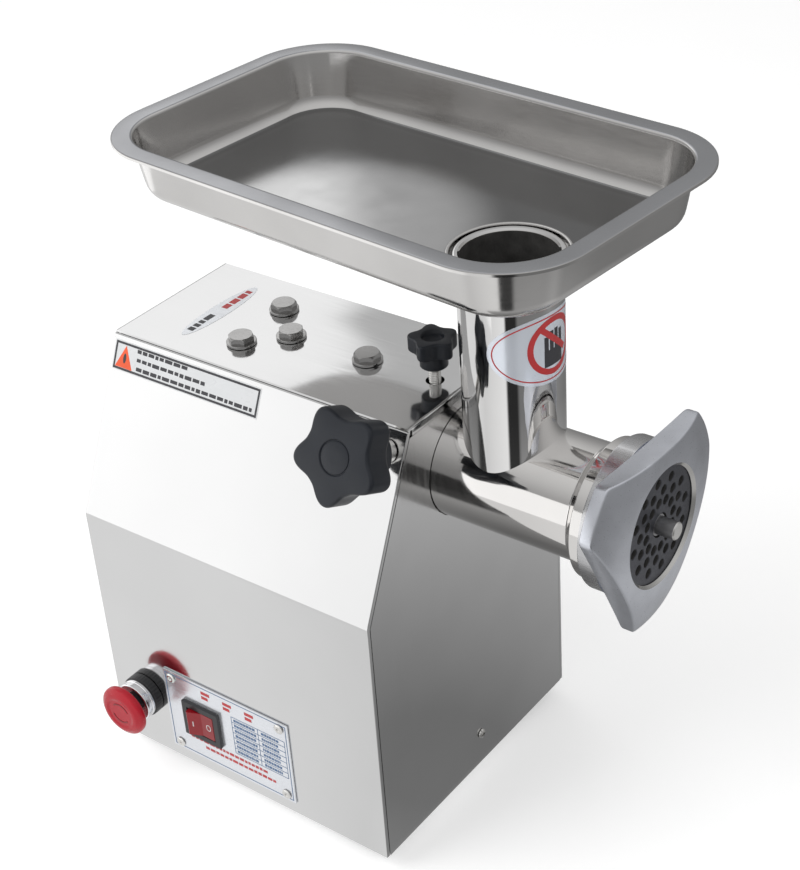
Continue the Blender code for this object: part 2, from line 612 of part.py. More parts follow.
def build_worm():
    start, end, pitch, per_turn = 141.5, 238.0, 34.0, 11
    steps = round((end - start) / pitch * per_turn)
    rings = []
    for i in range(steps + 1):
        share = i / steps
        x = start + (end - start) * share
        rings.append(worm_ring(x, 2 * math.pi * (x - start) / pitch, 14 + 2 * share, 31.5, math.radians(38)))
    worm = loft("worm", CAST_STEEL, rings)
    rear = [(78.6, 12.5), (138.5, 12.5), (138.5, 31.0), (143, 31.0)]
    rear = turned("rear", CAST_STEEL, rear, drive_line(), 20)
    tang = box("tang", CAST_STEEL, (63, -5.8, Z_AXIS - 5.8), (80, 5.8, Z_AXIS + 5.8))
    square = box("square", CAST_STEEL, (230, -7.5, Z_AXIS - 7.5), (254, 7.5, Z_AXIS + 7.5))
    pin = [(250, 7.0), (270, 7.0), (270, 5.2), (STUD_END, 5.2)]
    pin = turned("pin", STEEL, pin, drive_line(), 14)
    join(worm, rear, tang, square, pin)
    pivot(worm, (0, 0, Z_AXIS))

    knife = turned("knife", CAST_STEEL, [(246.3, 14.0), (254.4, 14.0)], drive_line(), 24)
    for i in range(4):
        turn = Matrix.Translation((0, 0, Z_AXIS * MM)) @ Matrix.Rotation(math.pi * i / 2 + 0.3, 4, "X")
        blade = box("arm", CAST_STEEL, (246.8, -5.5, 10), (254.4, 5.5, 37))
        blade.data.transform(turn)
        join(knife, blade)
    cut(knife, box("knife_square", STEEL, (230, -7.9, Z_AXIS - 7.9), (270, 7.9, Z_AXIS + 7.9)))
    pivot(knife, (0, 0, Z_AXIS))


def nut_outline():
    """Three round-ended lobes joined by nearly straight flanks, as (radius, angle) points."""
    points = []
    flank_end = math.radians(60 - NUT_LOBE_HALF_WIDTH)
    for lobe in range(3):
        centre = math.radians(NUT_LOBE_ANGLE + 120 * lobe)
        for i in range(5):
            points.append((NUT_RADIUS, centre + math.radians(NUT_LOBE_HALF_WIDTH) * (i / 2 - 1)))
        middle = centre + math.radians(60)
        for i in range(1, 8):
            across = NUT_RADIUS * math.sin(flank_end) * (i / 4 - 1)
            out = NUT_WAIST + (NUT_RADIUS * math.cos(flank_end) - NUT_WAIST) * (i / 4 - 1) ** 2
            points.append((math.hypot(out, across), middle + math.atan2(across, out)))
    return points


def nut_front(radius):
    share = max(0.0, radius - NUT_OPENING) / (NUT_RADIUS - NUT_OPENING)
    return NUT_FRONT - NUT_DOME * share ** 1.93


def build_ring_nut():
    outline = nut_outline()
    rings = []
    for share in (0.0, 0.3, 0.6, 0.85, 1.0):
        ring_points = []
        for radius, angle in outline:
            r = NUT_OPENING + (radius - NUT_OPENING) * share
            ring_points.append((nut_front(r), r * math.cos(angle), Z_AXIS + r * math.sin(angle)))
        rings.append(ring_points)
    rings.append([(248.5, r * math.cos(a), Z_AXIS + r * math.sin(a)) for r, a in outline])
    thread = THREAD_RADIUS + 3 * GAP
    back = ((248.5, 49.0), (236, 49.0), (235, 48.0), (235, thread), (263.1, thread), (263.1, NUT_OPENING))
    for x, radius in back:
        rings.append([(x, radius * math.cos(a), Z_AXIS + radius * math.sin(a)) for _, a in outline])
    pivot(closed_loft("ring_nut", CAST_STEEL, rings), (0, 0, Z_AXIS))


def rounded_rectangle(half_x, half_y, corner, height, steps=6):
    points = []
    for quarter, (sx, sy) in enumerate(((1, 1), (-1, 1), (-1, -1), (1, -1))):
        for i in range(steps):
            a = math.pi / 2 * (quarter + i / (steps - 1))
            x = sx * (half_x - corner) + corner * math.cos(a)
            y = sy * (half_y - corner) + corner * math.sin(a)
            points.append((x, y, height))
    return points


def build_pan():
    """A pressed tray: each pair is (inset from the rim's edge, height below the rim), inside then outside."""
    half_x, half_y = PAN_LENGTH / 2, PAN_WIDTH / 2
    inside = ((0.0, -2.2), (0.8, 0.0), (10.5, 0.0), (12.5, -1.2), (14.5, -5.0), (18.5, -27.0), (21.0, -33.5),
              (26.5, -37.8), (34.0, -PAN_DEPTH + PAN_SHEET))
    outside = ((34.0, -PAN_DEPTH), (26.0, -PAN_DEPTH + 1.0), (20.0, -34.5), (17.2, -27.6), (13.2, -5.4),
               (11.5, -PAN_SHEET - 0.6), (9.5, -PAN_SHEET), (1.4, -PAN_SHEET), (1.4, -2.2))
    rings = [rounded_rectangle(half_x - inset, half_y - inset, PAN_CORNER - inset, Z_PAN_RIM + drop)
             for inset, drop in inside + outside]
    cx, cy = PAN_CENTRE
    place = upright(FEED_X, 0) @ Matrix.Rotation(PAN_YAW, 4, "Z") @ upright(cx, cy)
    count = len(rings[0])
    floor, under = len(inside) - 1, len(inside)
    points = [p for loop in rings for p in loop]
    faces = [tuple(range(first * count, (first + 1) * count)) for first in (floor, under)]
    for r in range(len(rings)):
        if r == floor:
            continue
        low, high = r * count, (r + 1) % len(rings) * count
        for i in range(count):
            j = (i + 1) % count
            faces.append((low + i, low + j, high + j, high + i))
    pan = solid("feed_pan", STEEL, points, faces, place)
    z_floor = Z_PAN_RIM - PAN_DEPTH
    collar = [(z_floor - 11, 37.4), (z_floor + 2.6, 37.4), (z_floor + 2.6, 35.2), (z_floor - 11, 35.2)]
    cut(pan, turned("hole", STEEL, [(z_floor - 30, 36.2), (z_floor + 30, 36.2)], upright(FEED_X, 0), 28))
    join(pan, ring("collar", STEEL, collar, upright(FEED_X, 0), 28))
    pivot(pan, (FEED_X, 0, z_floor), Matrix.Rotation(PAN_YAW, 4, "Z"))


# ---------------------------------------------------------------- knobs and controls


def star(radius, height, count, phase, waist=0.76, lobes=5):
    """Outline of a hand knob: lobes that swell in and out like a cosine, the first one at angle phase."""
    points = []
    for i in range(count):
        a = 2 * math.pi * i / count
        swell = 0.5 + 0.5 * math.cos(lobes * a)
        r = radius * (waist + (1 - waist) * swell ** 1.3)
        points.append((r * math.cos(a + phase), r * math.sin(a + phase), height))
    return points


def star_knob(name, radius, phase, back, front, neck_radius, neck_back, place, count):
    thick = front - back
    rings = [
        circle(neck_radius, count, neck_back, phase), circle(neck_radius, count, back, phase),
        star(radius * 0.92, back + 0.03 * thick, count, phase), star(radius, back + 0.14 * thick, count, phase),
        star(radius, front - 0.14 * thick, count, phase), star(radius * 0.92, front, count, phase),
    ]
    return loft(name, BLACK, rings, place)


def build_knobs():
    panel = side_knob_panel_distance()
    frame = side_knob_frame()
    screw = [(BARREL_RADIUS + 2 * GAP, 4.8), (panel + 1, 4.8), (panel + 1, 8.0), (panel + 20, 8.0),
             (panel + 20, 4.8), (panel + 30, 4.8)]
    screw = turned("side_clamp_screw", STEEL, screw, frame, 14)
    knob = star_knob("side_clamp_knob", SIDE_KNOB_RADIUS, SIDE_KNOB_PHASE, panel + 33, panel + 54,
                     18.0, panel + 20 + GAP, frame, 30)
    cut(knob, turned("knob_bore", BLACK, [(panel, 5.1), (panel + 30 + GAP, 5.3)], frame, 14))
    for obj in (screw, knob):
        pivot(obj, side_knob_frame().translation, square_to_panel())

    place = upright(TOP_KNOB_X, 0)
    low = Z_AXIS + BARREL_RADIUS + 2 * GAP
    screw = turned("top_lock_screw", STEEL, [(low, 4.0), (Z_TOP + 16, 4.0)], place, 12)
    knob = star_knob("top_lock_knob", TOP_KNOB_RADIUS, TOP_KNOB_PHASE, Z_TOP + 21, Z_TOP + 32,
                     9.0, Z_TOP + 11, place, 25)
    cut(knob, turned("knob_bore", BLACK, [(Z_TOP, 4.3), (Z_TOP + 16 + GAP, 4.5)], place, 12))
    for obj in (screw, knob):
        pivot(obj, (TOP_KNOB_X, 0, Z_TOP))


def build_controls():
    x0, z0, x1, z1 = NAME_PLATE
    face = -HALF_WIDTH - GAP
    plate = box("name_plate", LABEL_WHITE, (x0, face - 1.0, z0), (x1, face, z1))
    sx, sz = SWITCH_SIZE
    mid_x, mid_z = SWITCH_X, SWITCH_Z
    window = box("window", BLACK, (mid_x - sx / 2 + 2.5, face - 5, mid_z - sz / 2 + 2.5),
                 (mid_x + sx / 2 - 2.5, face + 5, mid_z + sz / 2 - 2.5))
    cut(plate, window)
    for number, (x, z) in enumerate(rivet_places(), 1):
        dome = [(1.6, 3.2), (2.4, 2.8), (3.2, 1.6)]
        turned(f"plate_rivet_{number}", STEEL, dome, outwards(x, z), 10)

    front = face - 1.0 - GAP
    bezel = box("switch_bezel", BLACK, (mid_x - sx / 2, front - 2.4, mid_z - sz / 2),
                (mid_x + sx / 2, front, mid_z + sz / 2))
    body = box("switch_body", BLACK, (mid_x - sx / 2 + 3, front - 1, mid_z - sz / 2 + 3),
               (mid_x + sx / 2 - 3, front + 27, mid_z + sz / 2 - 3))
    well = box("well", BLACK, (mid_x - sx / 2 + 4.2, front - 9, mid_z - sz / 2 + 4.2),
               (mid_x + sx / 2 - 4.2, front + 12, mid_z + sz / 2 - 4.2))
    join(bezel, body)
    cut(bezel, well)
    build_rocker(front)
    build_estop()


def build_rocker(front):
    half_x, half_z = SWITCH_SIZE[0] / 2 - 5.2, SWITCH_SIZE[1] / 2 - 4.8
    pivot_y = front + 2.0
    right = [(0, 4.2), (half_x - 1, 6.4), (half_x, 5.4), (half_x - 0.6, 0.5), (5.0, -4.5)]
    outline = right + [(-x, y) for x, y in right[:0:-1]]
    flip = Matrix(((1, 0, 0, 0), (0, -1, 0, 0), (0, 0, -1, 0), (0, 0, 0, 1)))
    turn = Matrix.Rotation(ROCKER_TILT, 4, "Z")
    place = Matrix.Translation((SWITCH_X, pivot_y, SWITCH_Z)) @ turn @ flip
    rocker = prism("rocker", RED, outline, -half_z, half_z, place)
    pivot(rocker, (SWITCH_X, pivot_y, SWITCH_Z), turn)


def build_estop():
    """Collar on the panel, bright ring, and a mushroom head pressed onto the tip of its stem."""
    place = outwards(ESTOP_X, ESTOP_Z)
    way, collar, bright = ESTOP_STEM_WAY, ESTOP_COLLAR_RADIUS, ESTOP_RING_RADIUS
    path = [(GAP, collar), (6.2, collar), (7.0, collar - 0.8), (7.0, way), (GAP, way)]
    ring("estop_collar", BLACK, path, place, 20)
    path = [(7.3, bright), (14.0, bright), (14.8, bright - 0.8), (14.8, way), (7.3, way)]
    ring("estop_ring", STEEL, path, place, 20)
    block = box("estop_contact_block", BLACK, (ESTOP_X - 15, -HALF_WIDTH + SHEET + GAP, ESTOP_Z - 20),
                (ESTOP_X + 15, -HALF_WIDTH + 42, ESTOP_Z + 20))
    cut(block, turned("stem_way", BLACK, [(-30, way + 0.1), (10, way + 0.2)], place, 12))
    back, front, head_radius = ESTOP_HEAD_BACK, ESTOP_HEAD_FRONT, ESTOP_HEAD_RADIUS
    stem_radius, tip = ESTOP_STEM_RADIUS, back + 2.7
    stem = [(-18, stem_radius), (back - GAP, stem_radius), (back - GAP, 4.0), (tip, 4.0)]
    stem = turned("estop_stem", BLACK, stem, place, 12)
    button = [(back, 8.5), (back, head_radius - 1.4), (back + 1.1, head_radius), (back + 4.2, head_radius),
              (front - 1.5, head_radius - 2.0), (front - 0.4, head_radius - 5.2), (front, 8.0)]
    head = turned("estop_button", RED, button, place, 20)
    cut(head, turned("stem_bore", RED, [(10, 4.3), (tip + GAP, 4.5)], place, 12))
    for obj in (stem, head):
        pivot(obj, (ESTOP_X, -HALF_WIDTH, ESTOP_Z), Matrix.Rotation(math.radians(90), 4, "X"))


def stand_at_origin():
    """Moves the machine so that the world origin is at the bottom centre of its box."""
    bpy.context.view_layer.update()
    solids = [obj for obj in bpy.data.objects if obj.type == "MESH"]
    points = [obj.matrix_world @ vertex.co for obj in solids for vertex in obj.data.vertices]
    low = [min(p[i] for p in points) for i in range(3)]
    high = [max(p[i] for p in points) for i in range(3)]
    machine.location = (-(low[0] + high[0]) / 2, -(low[1] + high[1]) / 2, -low[2])


build_housing()
build_fasteners()
build_gearbox()
build_motor()
build_socket()
build_head()
build_worm()
build_ring_nut()
build_pan()
build_knobs()
build_controls()
stand_at_origin()
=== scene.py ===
"""Looks for the electric meat grinder: fine meshes, procedural finishes, printed labels, camera and studio.

Lengths are millimetres in the machine's own axes until a mesh is made, when they become metres of the frame:
+X forwards along the drive line to the outlet, +Y away from the controls, +Z up, with z = 0 on the bench and
x = 0 in the middle of the housing.
"""

import random
from math import atan2, cos, hypot, pi, radians, sin, sqrt, tan

import bmesh
import bpy
from mathutils import Matrix, Vector


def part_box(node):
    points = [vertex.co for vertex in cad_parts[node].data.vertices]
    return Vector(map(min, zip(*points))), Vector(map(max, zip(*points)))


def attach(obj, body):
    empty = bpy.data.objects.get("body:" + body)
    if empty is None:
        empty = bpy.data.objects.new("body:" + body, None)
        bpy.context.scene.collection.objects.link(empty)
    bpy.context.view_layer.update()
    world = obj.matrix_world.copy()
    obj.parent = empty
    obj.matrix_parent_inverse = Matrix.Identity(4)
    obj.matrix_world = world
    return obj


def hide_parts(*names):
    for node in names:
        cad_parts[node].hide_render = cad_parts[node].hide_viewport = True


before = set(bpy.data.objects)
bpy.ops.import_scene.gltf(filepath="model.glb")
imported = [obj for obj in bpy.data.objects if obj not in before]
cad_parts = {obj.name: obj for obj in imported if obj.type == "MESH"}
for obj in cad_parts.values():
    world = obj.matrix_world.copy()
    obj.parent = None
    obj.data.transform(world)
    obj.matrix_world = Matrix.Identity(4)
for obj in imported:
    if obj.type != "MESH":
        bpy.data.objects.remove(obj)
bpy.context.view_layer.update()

MM = 0.001
HOUSING_BACK, HOUSING_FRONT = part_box("rear_panel")[0].x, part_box("front_panel")[1].x
MID_X = (HOUSING_BACK + HOUSING_FRONT) / 2
MID_Y = sum(corner.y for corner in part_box("top_plate")) / 2
MACHINE = Matrix.Translation((MID_X, MID_Y, 0)) @ Matrix.Scale(MM, 4)

# Housing, as in the CAD
HALF_LENGTH = 122.0
HALF_WIDTH = 110.0
TOP_HALF_WIDTH = 55.5
Z_BASE = 12.0
Z_CREASE = 207.0
Z_TOP = 324.0
SHEET = 1.5
GAP = 0.3
RETURN_FLANGE = 3.0
TOP_LIP = 6.0
BEND_RADIUS = 3.0
SIDE_TILT = atan2(HALF_WIDTH - TOP_HALF_WIDTH, Z_TOP - Z_CREASE)
FOOT_X, FOOT_Y = 88.0, 76.0

# Drive line, head, nut and pan
Z_AXIS = 273.0
BARREL_RADIUS = 38.0
BARREL_BORE = 32.5
BARREL_BACK, BARREL_END = 70.0, 258.0
THREAD_RADIUS = 45.0
PLATE_RADIUS = 41.0
PLATE_BACK, PLATE_FRONT = 254.8, 262.8
HOLE_RADIUS = 3.25
HOLE_RINGS = ((16.0, 5.0), (23.5, 20.0), (30.5, 5.0))
NUT_FRONT = 265.4
NUT_BACK = 248.5
NUT_OPENING = 37.7
NUT_RADIUS = 73.3
NUT_LOBE_ANGLE = 147.4
NUT_LOBE_HALF_WIDTH = 13.8
NUT_WAIST = 50.2
NUT_DOME = 8.5
FEED_X = 161.0
FEED_RADIUS = 31.8
FEED_BORE = 29.0
FEED_COLLAR_RADIUS, FEED_LIP_RADIUS = 36.5, 33.5
Z_FEED_TOP = 429.0
PAN_HALF = (177.4, 109.4)
PAN_CORNER = 55.0
PAN_CENTRE = (-94.6, 17.8)
PAN_YAW = radians(-5.19)
PAN_HOLE, PAN_COLLAR = 36.2, (35.2, 37.4)
# Painted reflection: the pan's floor keeps its colour inside this ellipse and is darkened around it, standing
# in for a bright patch that the floor reflects.
REFLECTION_PATCH_CENTRE = (52.0, -22.0)
REFLECTION_PATCH_RADII = (86.0, 84.0)
Z_PAN_RIM = 467.0
Z_PAN_FLOOR = 427.0

# Controls and fasteners
ESTOP = (-91.0, 60.0)
SWITCH = (-35.8, 57.9)
SWITCH_HALF = (14.0, 12.5)
ESTOP_HEAD = (21.0, 28.5, 19.4)
ESTOP_HOLE, CLAMP_HOLE, TOP_KNOB_HOLE, BOLT_HOLE = 11.2, 6.5, 6.0, 5.5
ESTOP_COLLAR_RADIUS, ESTOP_RING_RADIUS, ESTOP_WAY = 16.0, 15.0, 8.2
NAME_PLATE = (-69.1, 22.3, 44.6, 92.8)
NAME_PLATE_FACE = -HALF_WIDTH - 1.3
SIDE_KNOB_X, SIDE_KNOB_RISE = 110.0, 6.1
SIDE_KNOB_STAR = (31.0, radians(195))
PANEL_DISTANCE = HALF_WIDTH * cos(SIDE_TILT) - (Z_AXIS - Z_CREASE) * sin(SIDE_TILT)
TOP_KNOB_X = 102.0
TOP_KNOB_STAR = (16.0, radians(60))
TOP_BOLTS = ((-35.3, -26.1), (-39.3, 22.7), (-11.7, -3.3), (50.5, -2.1))
BOLT_CORNER, BOLT_TOP, WASHER_RADIUS = 8.9, 6.2, 10.1
FRONT_SCREW = (3.0, 38.0)
CORD_GLAND = (-60.0, 52.0)

# Camera: turn, height and roll in degrees, place and lens
CAMERA_ANGLES = (38.694, 32.557, -4.154)
CAMERA_PLACE = (682.9, -764.2, 898.0)
CAMERA_LENS = 74.02

ALONG_X = Matrix(((0, 0, 1, 0), (1, 0, 0, 0), (0, 1, 0, 0), (0, 0, 0, 1)))
QUARTER = radians(90)


# ---- finishes


class Graph:
    """Adds nodes to a node tree.  An input is a socket, or a number set on the node itself."""

    def __init__(self, tree):
        self.tree = tree

    def add(self, kind, inputs, output=0, **settings):
        node = self.tree.nodes.new(kind)
        for key, value in settings.items():
            setattr(node, key, value)
        for key, value in inputs.items():
            if isinstance(value, bpy.types.NodeSocket):
                self.tree.links.new(value, node.inputs[key])
            else:
                node.inputs[key].default_value = value
        return node.outputs[output]

    def split(self, vector):
        node = self.tree.nodes.new("ShaderNodeSeparateXYZ")
        self.tree.links.new(vector, node.inputs[0])
        return node.outputs

    def place(self):
        """Metres in the frame's axes at rest, which ride with the piece."""
        return self.add("ShaderNodeTexCoord", {}, "Object")

    def math(self, operation, first, second=0.0):
        return self.add("ShaderNodeMath", {0: first, 1: second}, operation=operation)

    def ramp(self, value, from_low, from_high, to_low, to_high, smooth=False):
        inputs = dict(enumerate((value, from_low, from_high, to_low, to_high)))
        kind = "SMOOTHSTEP" if smooth else "LINEAR"
        return self.add("ShaderNodeMapRange", inputs, interpolation_type=kind)

    def window(self, value, low, high, soft):
        rise = self.ramp(value, low - soft, low + soft, 0.0, 1.0, smooth=True)
        fall = self.ramp(value, high - soft, high + soft, 1.0, 0.0, smooth=True)
        return self.math("MULTIPLY", rise, fall)


def grey(level):
    return (level, level, level)


def link(name, data):
    obj = bpy.data.objects.new(name, data)
    bpy.context.scene.collection.objects.link(obj)
    return obj


# Grain of the finishes, in cycles per metre along X, Y and Z
ACROSS = (25, 700, 700)
UP_GRAIN = (500, 500, 12)
BRUSHED = (300, 300, 20)
PRESSED = (60, 60, 500)
FINE = (900, 900, 900)
MOULDED = (1400, 1400, 1400)
PAPER = (300, 300, 300)


def finish(name, colour, metallic, roughness, spread, tint, grain=FINE, bump=1e-6, broad=60.0, wave=0.0,
           coat=0.0, specular=0.5):
    """A procedural finish from two noises, whose cycles per metre are grain, along each axis, and broad.

    The fine one moves the roughness by spread and makes bumps of bump metres.  The broad one shifts the
    colour by the share tint and makes waves of wave metres.
    """
    made = bpy.data.materials.new(name)
    made.use_nodes = True
    shader = made.node_tree.nodes["Principled BSDF"]
    graph = Graph(made.node_tree)
    place = graph.place()
    stretched = graph.add("ShaderNodeMapping", {"Vector": place, "Scale": grain})
    fine = graph.add("ShaderNodeTexNoise", {"Vector": stretched, "Scale": 1.0, "Detail": 4.0})
    large = graph.add("ShaderNodeTexNoise", {"Vector": place, "Scale": broad, "Detail": 3.0})
    dark = (*(c * (1 - tint) for c in colour), 1.0)
    light = (*(min(1.0, c * (1 + tint)) for c in colour), 1.0)
    share = graph.ramp(large, 0.3, 0.7, 0.0, 1.0)
    mixed = graph.add("ShaderNodeMixRGB", {"Fac": share, "Color1": dark, "Color2": light})
    rough = graph.ramp(fine, 0.3, 0.7, max(0.0, roughness - spread), roughness + spread)
    rippled = graph.add("ShaderNodeBump", {"Height": fine, "Distance": bump, "Strength": 1.0})
    waved = {"Height": large, "Distance": wave, "Normal": rippled, "Strength": 1.0}
    normal = graph.add("ShaderNodeBump", waved)
    for socket, value in (("Base Color", mixed), ("Roughness", rough), ("Normal", normal)):
        made.node_tree.links.new(value, shader.inputs[socket])
    shader.inputs["Metallic"].default_value = metallic
    shader.inputs["Coat Weight"].default_value = coat
    shader.inputs["Specular IOR Level"].default_value = specular
    return made


def darken_away(look, centre, radii, level):
    """Darkens a finish to that level outside a soft-edged ellipse, in machine millimetres seen from above."""
    graph = Graph(look.node_tree)
    centre = MACHINE @ Vector((*centre, 0.0))
    place = graph.split(graph.place())
    squares = []
    for axis, radius in enumerate(radii):
        offset = graph.math("DIVIDE", graph.math("SUBTRACT", place[axis], centre[axis]), radius / 1000)
        squares.append(graph.math("MULTIPLY", offset, offset))
    kept = graph.ramp(graph.math("ADD", *squares), 0.55, 1.5, 1.0, level, smooth=True)
    base = look.node_tree.nodes["Principled BSDF"].inputs["Base Color"]
    colour = base.links[0].from_socket
    shaded = graph.add("ShaderNodeVectorMath", {0: colour, "Scale": kept}, operation="SCALE")
    look.node_tree.links.new(shaded, base)


SHEET_METAL = finish("sheet_steel", grey(0.72), 1.0, 0.10, 0.025, 0.02, ACROSS, 4e-7, 9.0, 5e-5)
BRUSHED_METAL = finish("front_sheet_steel", grey(0.70), 1.0, 0.15, 0.04, 0.04, BRUSHED, 8e-7, 9.0, 8e-5)
TUBE_METAL = finish("polished_tube_steel", (0.74, 0.735, 0.73), 1.0, 0.055, 0.02, 0.03, UP_GRAIN, 3e-7,
    20.0, 4e-5)
BARREL_METAL = finish("polished_barrel_steel", (0.76, 0.745, 0.73), 1.0, 0.07, 0.02, 0.03, ACROSS, 3e-7,
    20.0, 4e-5)
PAN_METAL = finish("pressed_pan_steel", (0.62, 0.61, 0.60), 1.0, 0.14, 0.03, 0.07, PRESSED, 6e-7, 11.0,
    1.2e-4)
# Painted shade: the rim and the floor are the pan's own pressed steel, in darker copies that stand in for the
# dim light they reflect.
PAN_RIM_METAL = finish("pan_rim_steel", (0.38, 0.385, 0.40), 1.0, 0.2, 0.03, 0.09, PRESSED, 6e-7, 11.0, 8e-5)
PAN_FLOOR_METAL = finish("pan_floor_steel", grey(0.58), 1.0, 0.14, 0.03, 0.07, PRESSED, 6e-7, 11.0, 1.2e-4)
BOLT_METAL = finish("bolt_steel", (0.42, 0.415, 0.41), 1.0, 0.2, 0.05, 0.06, FINE, 1e-6, 30.0, 2e-5)
TURNED_METAL = finish("turned_steel", (0.74, 0.73, 0.71), 1.0, 0.16, 0.05, 0.04, FINE, 1e-6, 30.0, 2e-5)
CAST_METAL = finish("cast_nut_steel", (0.71, 0.73, 0.785), 1.0, 0.34, 0.07, 0.06, (1100, 1100, 1100),
    1.6e-5, wave=8e-5)
NUT_COLLAR_METAL = finish("nut_collar_steel", (0.60, 0.60, 0.61), 1.0, 0.25, 0.06, 0.05, (30, 900, 900),
    4e-6, 30.0)
# Painted shade: the hole plate's near-black colour stands in for the shade it sits in, recessed inside the
# ring nut.
PLATE_METAL = finish("hole_plate_steel", (0.12, 0.123, 0.14), 1.0, 0.40, 0.08, 0.08, FINE, 6e-6)
# Painted shade: a rougher steel whose near-black colour stands in for the shade deep inside the bores and the
# plate's holes.
SHADED_BORE_METAL = finish("rough_bore_steel_painted_shade", (0.085, 0.083, 0.08), 0.5, 0.55, 0.1, 0.25, (700, 700, 700),
    7e-5, 120.0)
WORM_METAL = finish("cast_worm_steel", (0.42, 0.42, 0.43), 1.0, 0.4, 0.08, 0.08, FINE, 8e-6)
LAMINATION = finish("lamination_steel", (0.28, 0.28, 0.3), 0.9, 0.55, 0.08, 0.08, (2000, 50, 50), 2e-5)
ALUMINIUM = finish("cast_aluminium", grey(0.6), 1.0, 0.5, 0.08, 0.05, FINE, 2e-5)
GREY_PAINT = finish("grey_paint", (0.22, 0.24, 0.27), 0.0, 0.42, 0.06, 0.05, (700, 700, 700), 6e-6)
BRONZE = finish("bronze", (0.6, 0.42, 0.2), 1.0, 0.35, 0.06, 0.06, (60, 900, 900), 4e-6)
CHROME = finish("chrome", (0.82, 0.82, 0.84), 1.0, 0.06, 0.02, 0.02, (500, 500, 500), 2e-7)
RUBBER = finish("rubber", (0.018, 0.018, 0.019), 0.0, 0.75, 0.08, 0.1, (1500, 1500, 1500), 1e-5, specular=0.3)
KNOB_PLASTIC = finish("knob_plastic", (0.008, 0.0105, 0.016), 0.0, 0.42, 0.05, 0.08, MOULDED, 7e-6)
BLACK_PLASTIC = finish("black_plastic", (0.015, 0.015, 0.017), 0.0, 0.35, 0.05, 0.08, MOULDED, 4e-6)
RED_PLASTIC = finish("red_plastic", (0.40, 0.006, 0.018), 0.0, 0.24, 0.04, 0.05, specular=0.4)
DARK_RED = finish("dark_red_plastic", (0.20, 0.003, 0.009), 0.0, 0.3, 0.04, 0.05, specular=0.4)
ROCKER_RED = finish("rocker_plastic", (0.24, 0.003, 0.008), 0.0, 0.2, 0.04, 0.05)
FILM = finish("white_film", (0.66, 0.67, 0.68), 0.0, 0.3, 0.04, 0.02, PAPER, 1e-6, 20.0, coat=0.2)
SILVER_FILM = finish("silver_film", (0.80, 0.82, 0.85), 0.6, 0.32, 0.05, 0.03, PAPER, 2e-6, 20.0)
TUBE_FILM = finish("tube_film", (0.76, 0.80, 0.87), 0.45, 0.2, 0.04, 0.02, PAPER, 1e-6, 20.0)
PLATE_FILM = finish("name_plate_metal", (0.80, 0.82, 0.86), 0.8, 0.22, 0.05, 0.03, (30, 600, 600), 1e-6, 20.0)
DARK_INK = finish("dark_ink", (0.035, 0.035, 0.04), 0.0, 0.4, 0.05, 0.1)
RED_INK = finish("red_ink", (0.46, 0.028, 0.03), 0.0, 0.35, 0.05, 0.06)
ORANGE_INK = finish("orange_ink", (0.80, 0.10, 0.025), 0.0, 0.35, 0.05, 0.06)
BLUE_INK = finish("blue_ink", (0.06, 0.13, 0.26), 0.1, 0.35, 0.05, 0.06)
WHITE_INK = finish("white_ink", (0.62, 0.58, 0.58), 0.0, 0.35, 0.05, 0.03)


# ---- mesh tools


def solid(name, look, points, faces, place=None):
    """A closed mesh object from points in machine millimetres, moved by place, with its faces outwards."""
    mesh = bpy.data.meshes.new(name)
    mesh.from_pydata([Vector(p) for p in points], [], faces)
    mesh.transform(MACHINE @ (place or Matrix()))
    work = bmesh.new()
    work.from_mesh(mesh)
    bmesh.ops.recalc_face_normals(work, faces=work.faces)
    if work.calc_volume(signed=True) < 0:
        bmesh.ops.reverse_faces(work, faces=work.faces)
    work.to_mesh(mesh)
    work.free()
    mesh.materials.append(look)
    obj = link(name, mesh)
    smooth(obj)
    return obj


def smooth(obj, degrees=32):
    obj.data.shade_smooth()
    obj.data.set_sharp_from_angle(angle=radians(degrees))


def loft(name, look, rings, place=None, closed=False):
    """Quads between rings of equally many points, ending in a face at each end or joined round in a loop."""
    count, total = len(rings[0]), len(rings)
    points = [p for loop in rings for p in loop]
    faces = [] if closed else [tuple(range(count)), tuple(range(len(points) - count, len(points)))]
    for r in range(total if closed else total - 1):
        low, high = r * count, (r + 1) % total * count
        for i in range(count):
            j = (i + 1) % count
            faces.append((low + i, low + j, high + j, high + i))
    return solid(name, look, points, faces, place)


def polar(radius, angle, height):
    return (radius * cos(angle), radius * sin(angle), height)


def circle(radius, count, height=0.0, phase=0.0):
    return [polar(radius, 2 * pi * i / count + phase, height) for i in range(count)]


def rounded(path, steps=6):
    """Replaces each corner (a, b, radius) of an open path by an arc that meets its sides smoothly."""
    points = []
    for index, (a, b, *radius) in enumerate(path):
        here = Vector((a, b))
        if not radius or index in (0, len(path) - 1):
            points.append((a, b))
            continue
        back, ahead = (Vector(path[index + side][:2]) - here for side in (-1, 1))
        turn = pi - back.angle(ahead)
        reach = min(radius[0] * tan(turn / 2), 0.48 * back.length, 0.48 * ahead.length)
        start, end = here + back.normalized() * reach, here + ahead.normalized() * reach
        for i in range(steps + 1):
            s = i / steps
            points.append(tuple((1 - s) ** 2 * start + 2 * s * (1 - s) * here + s * s * end))
    return points


def turned(name, look, path, place=None, count=96, closed=False):
    """A solid of revolution about local Z from a rounded path of (height, radius)."""
    return loft(name, look, [circle(r, count, h) for h, r in rounded(path)], place, closed)


def prism(name, look, outline, low, high, place=None):
    return loft(name, look, [[(u, v, h) for u, v in outline] for h in (low, high)], place)


def box(name, look, low, high):
    (x0, y0, z0), (x1, y1, z1) = low, high
    return prism(name, look, [(x0, y0), (x1, y0), (x1, y1), (x0, y1)], z0, z1)


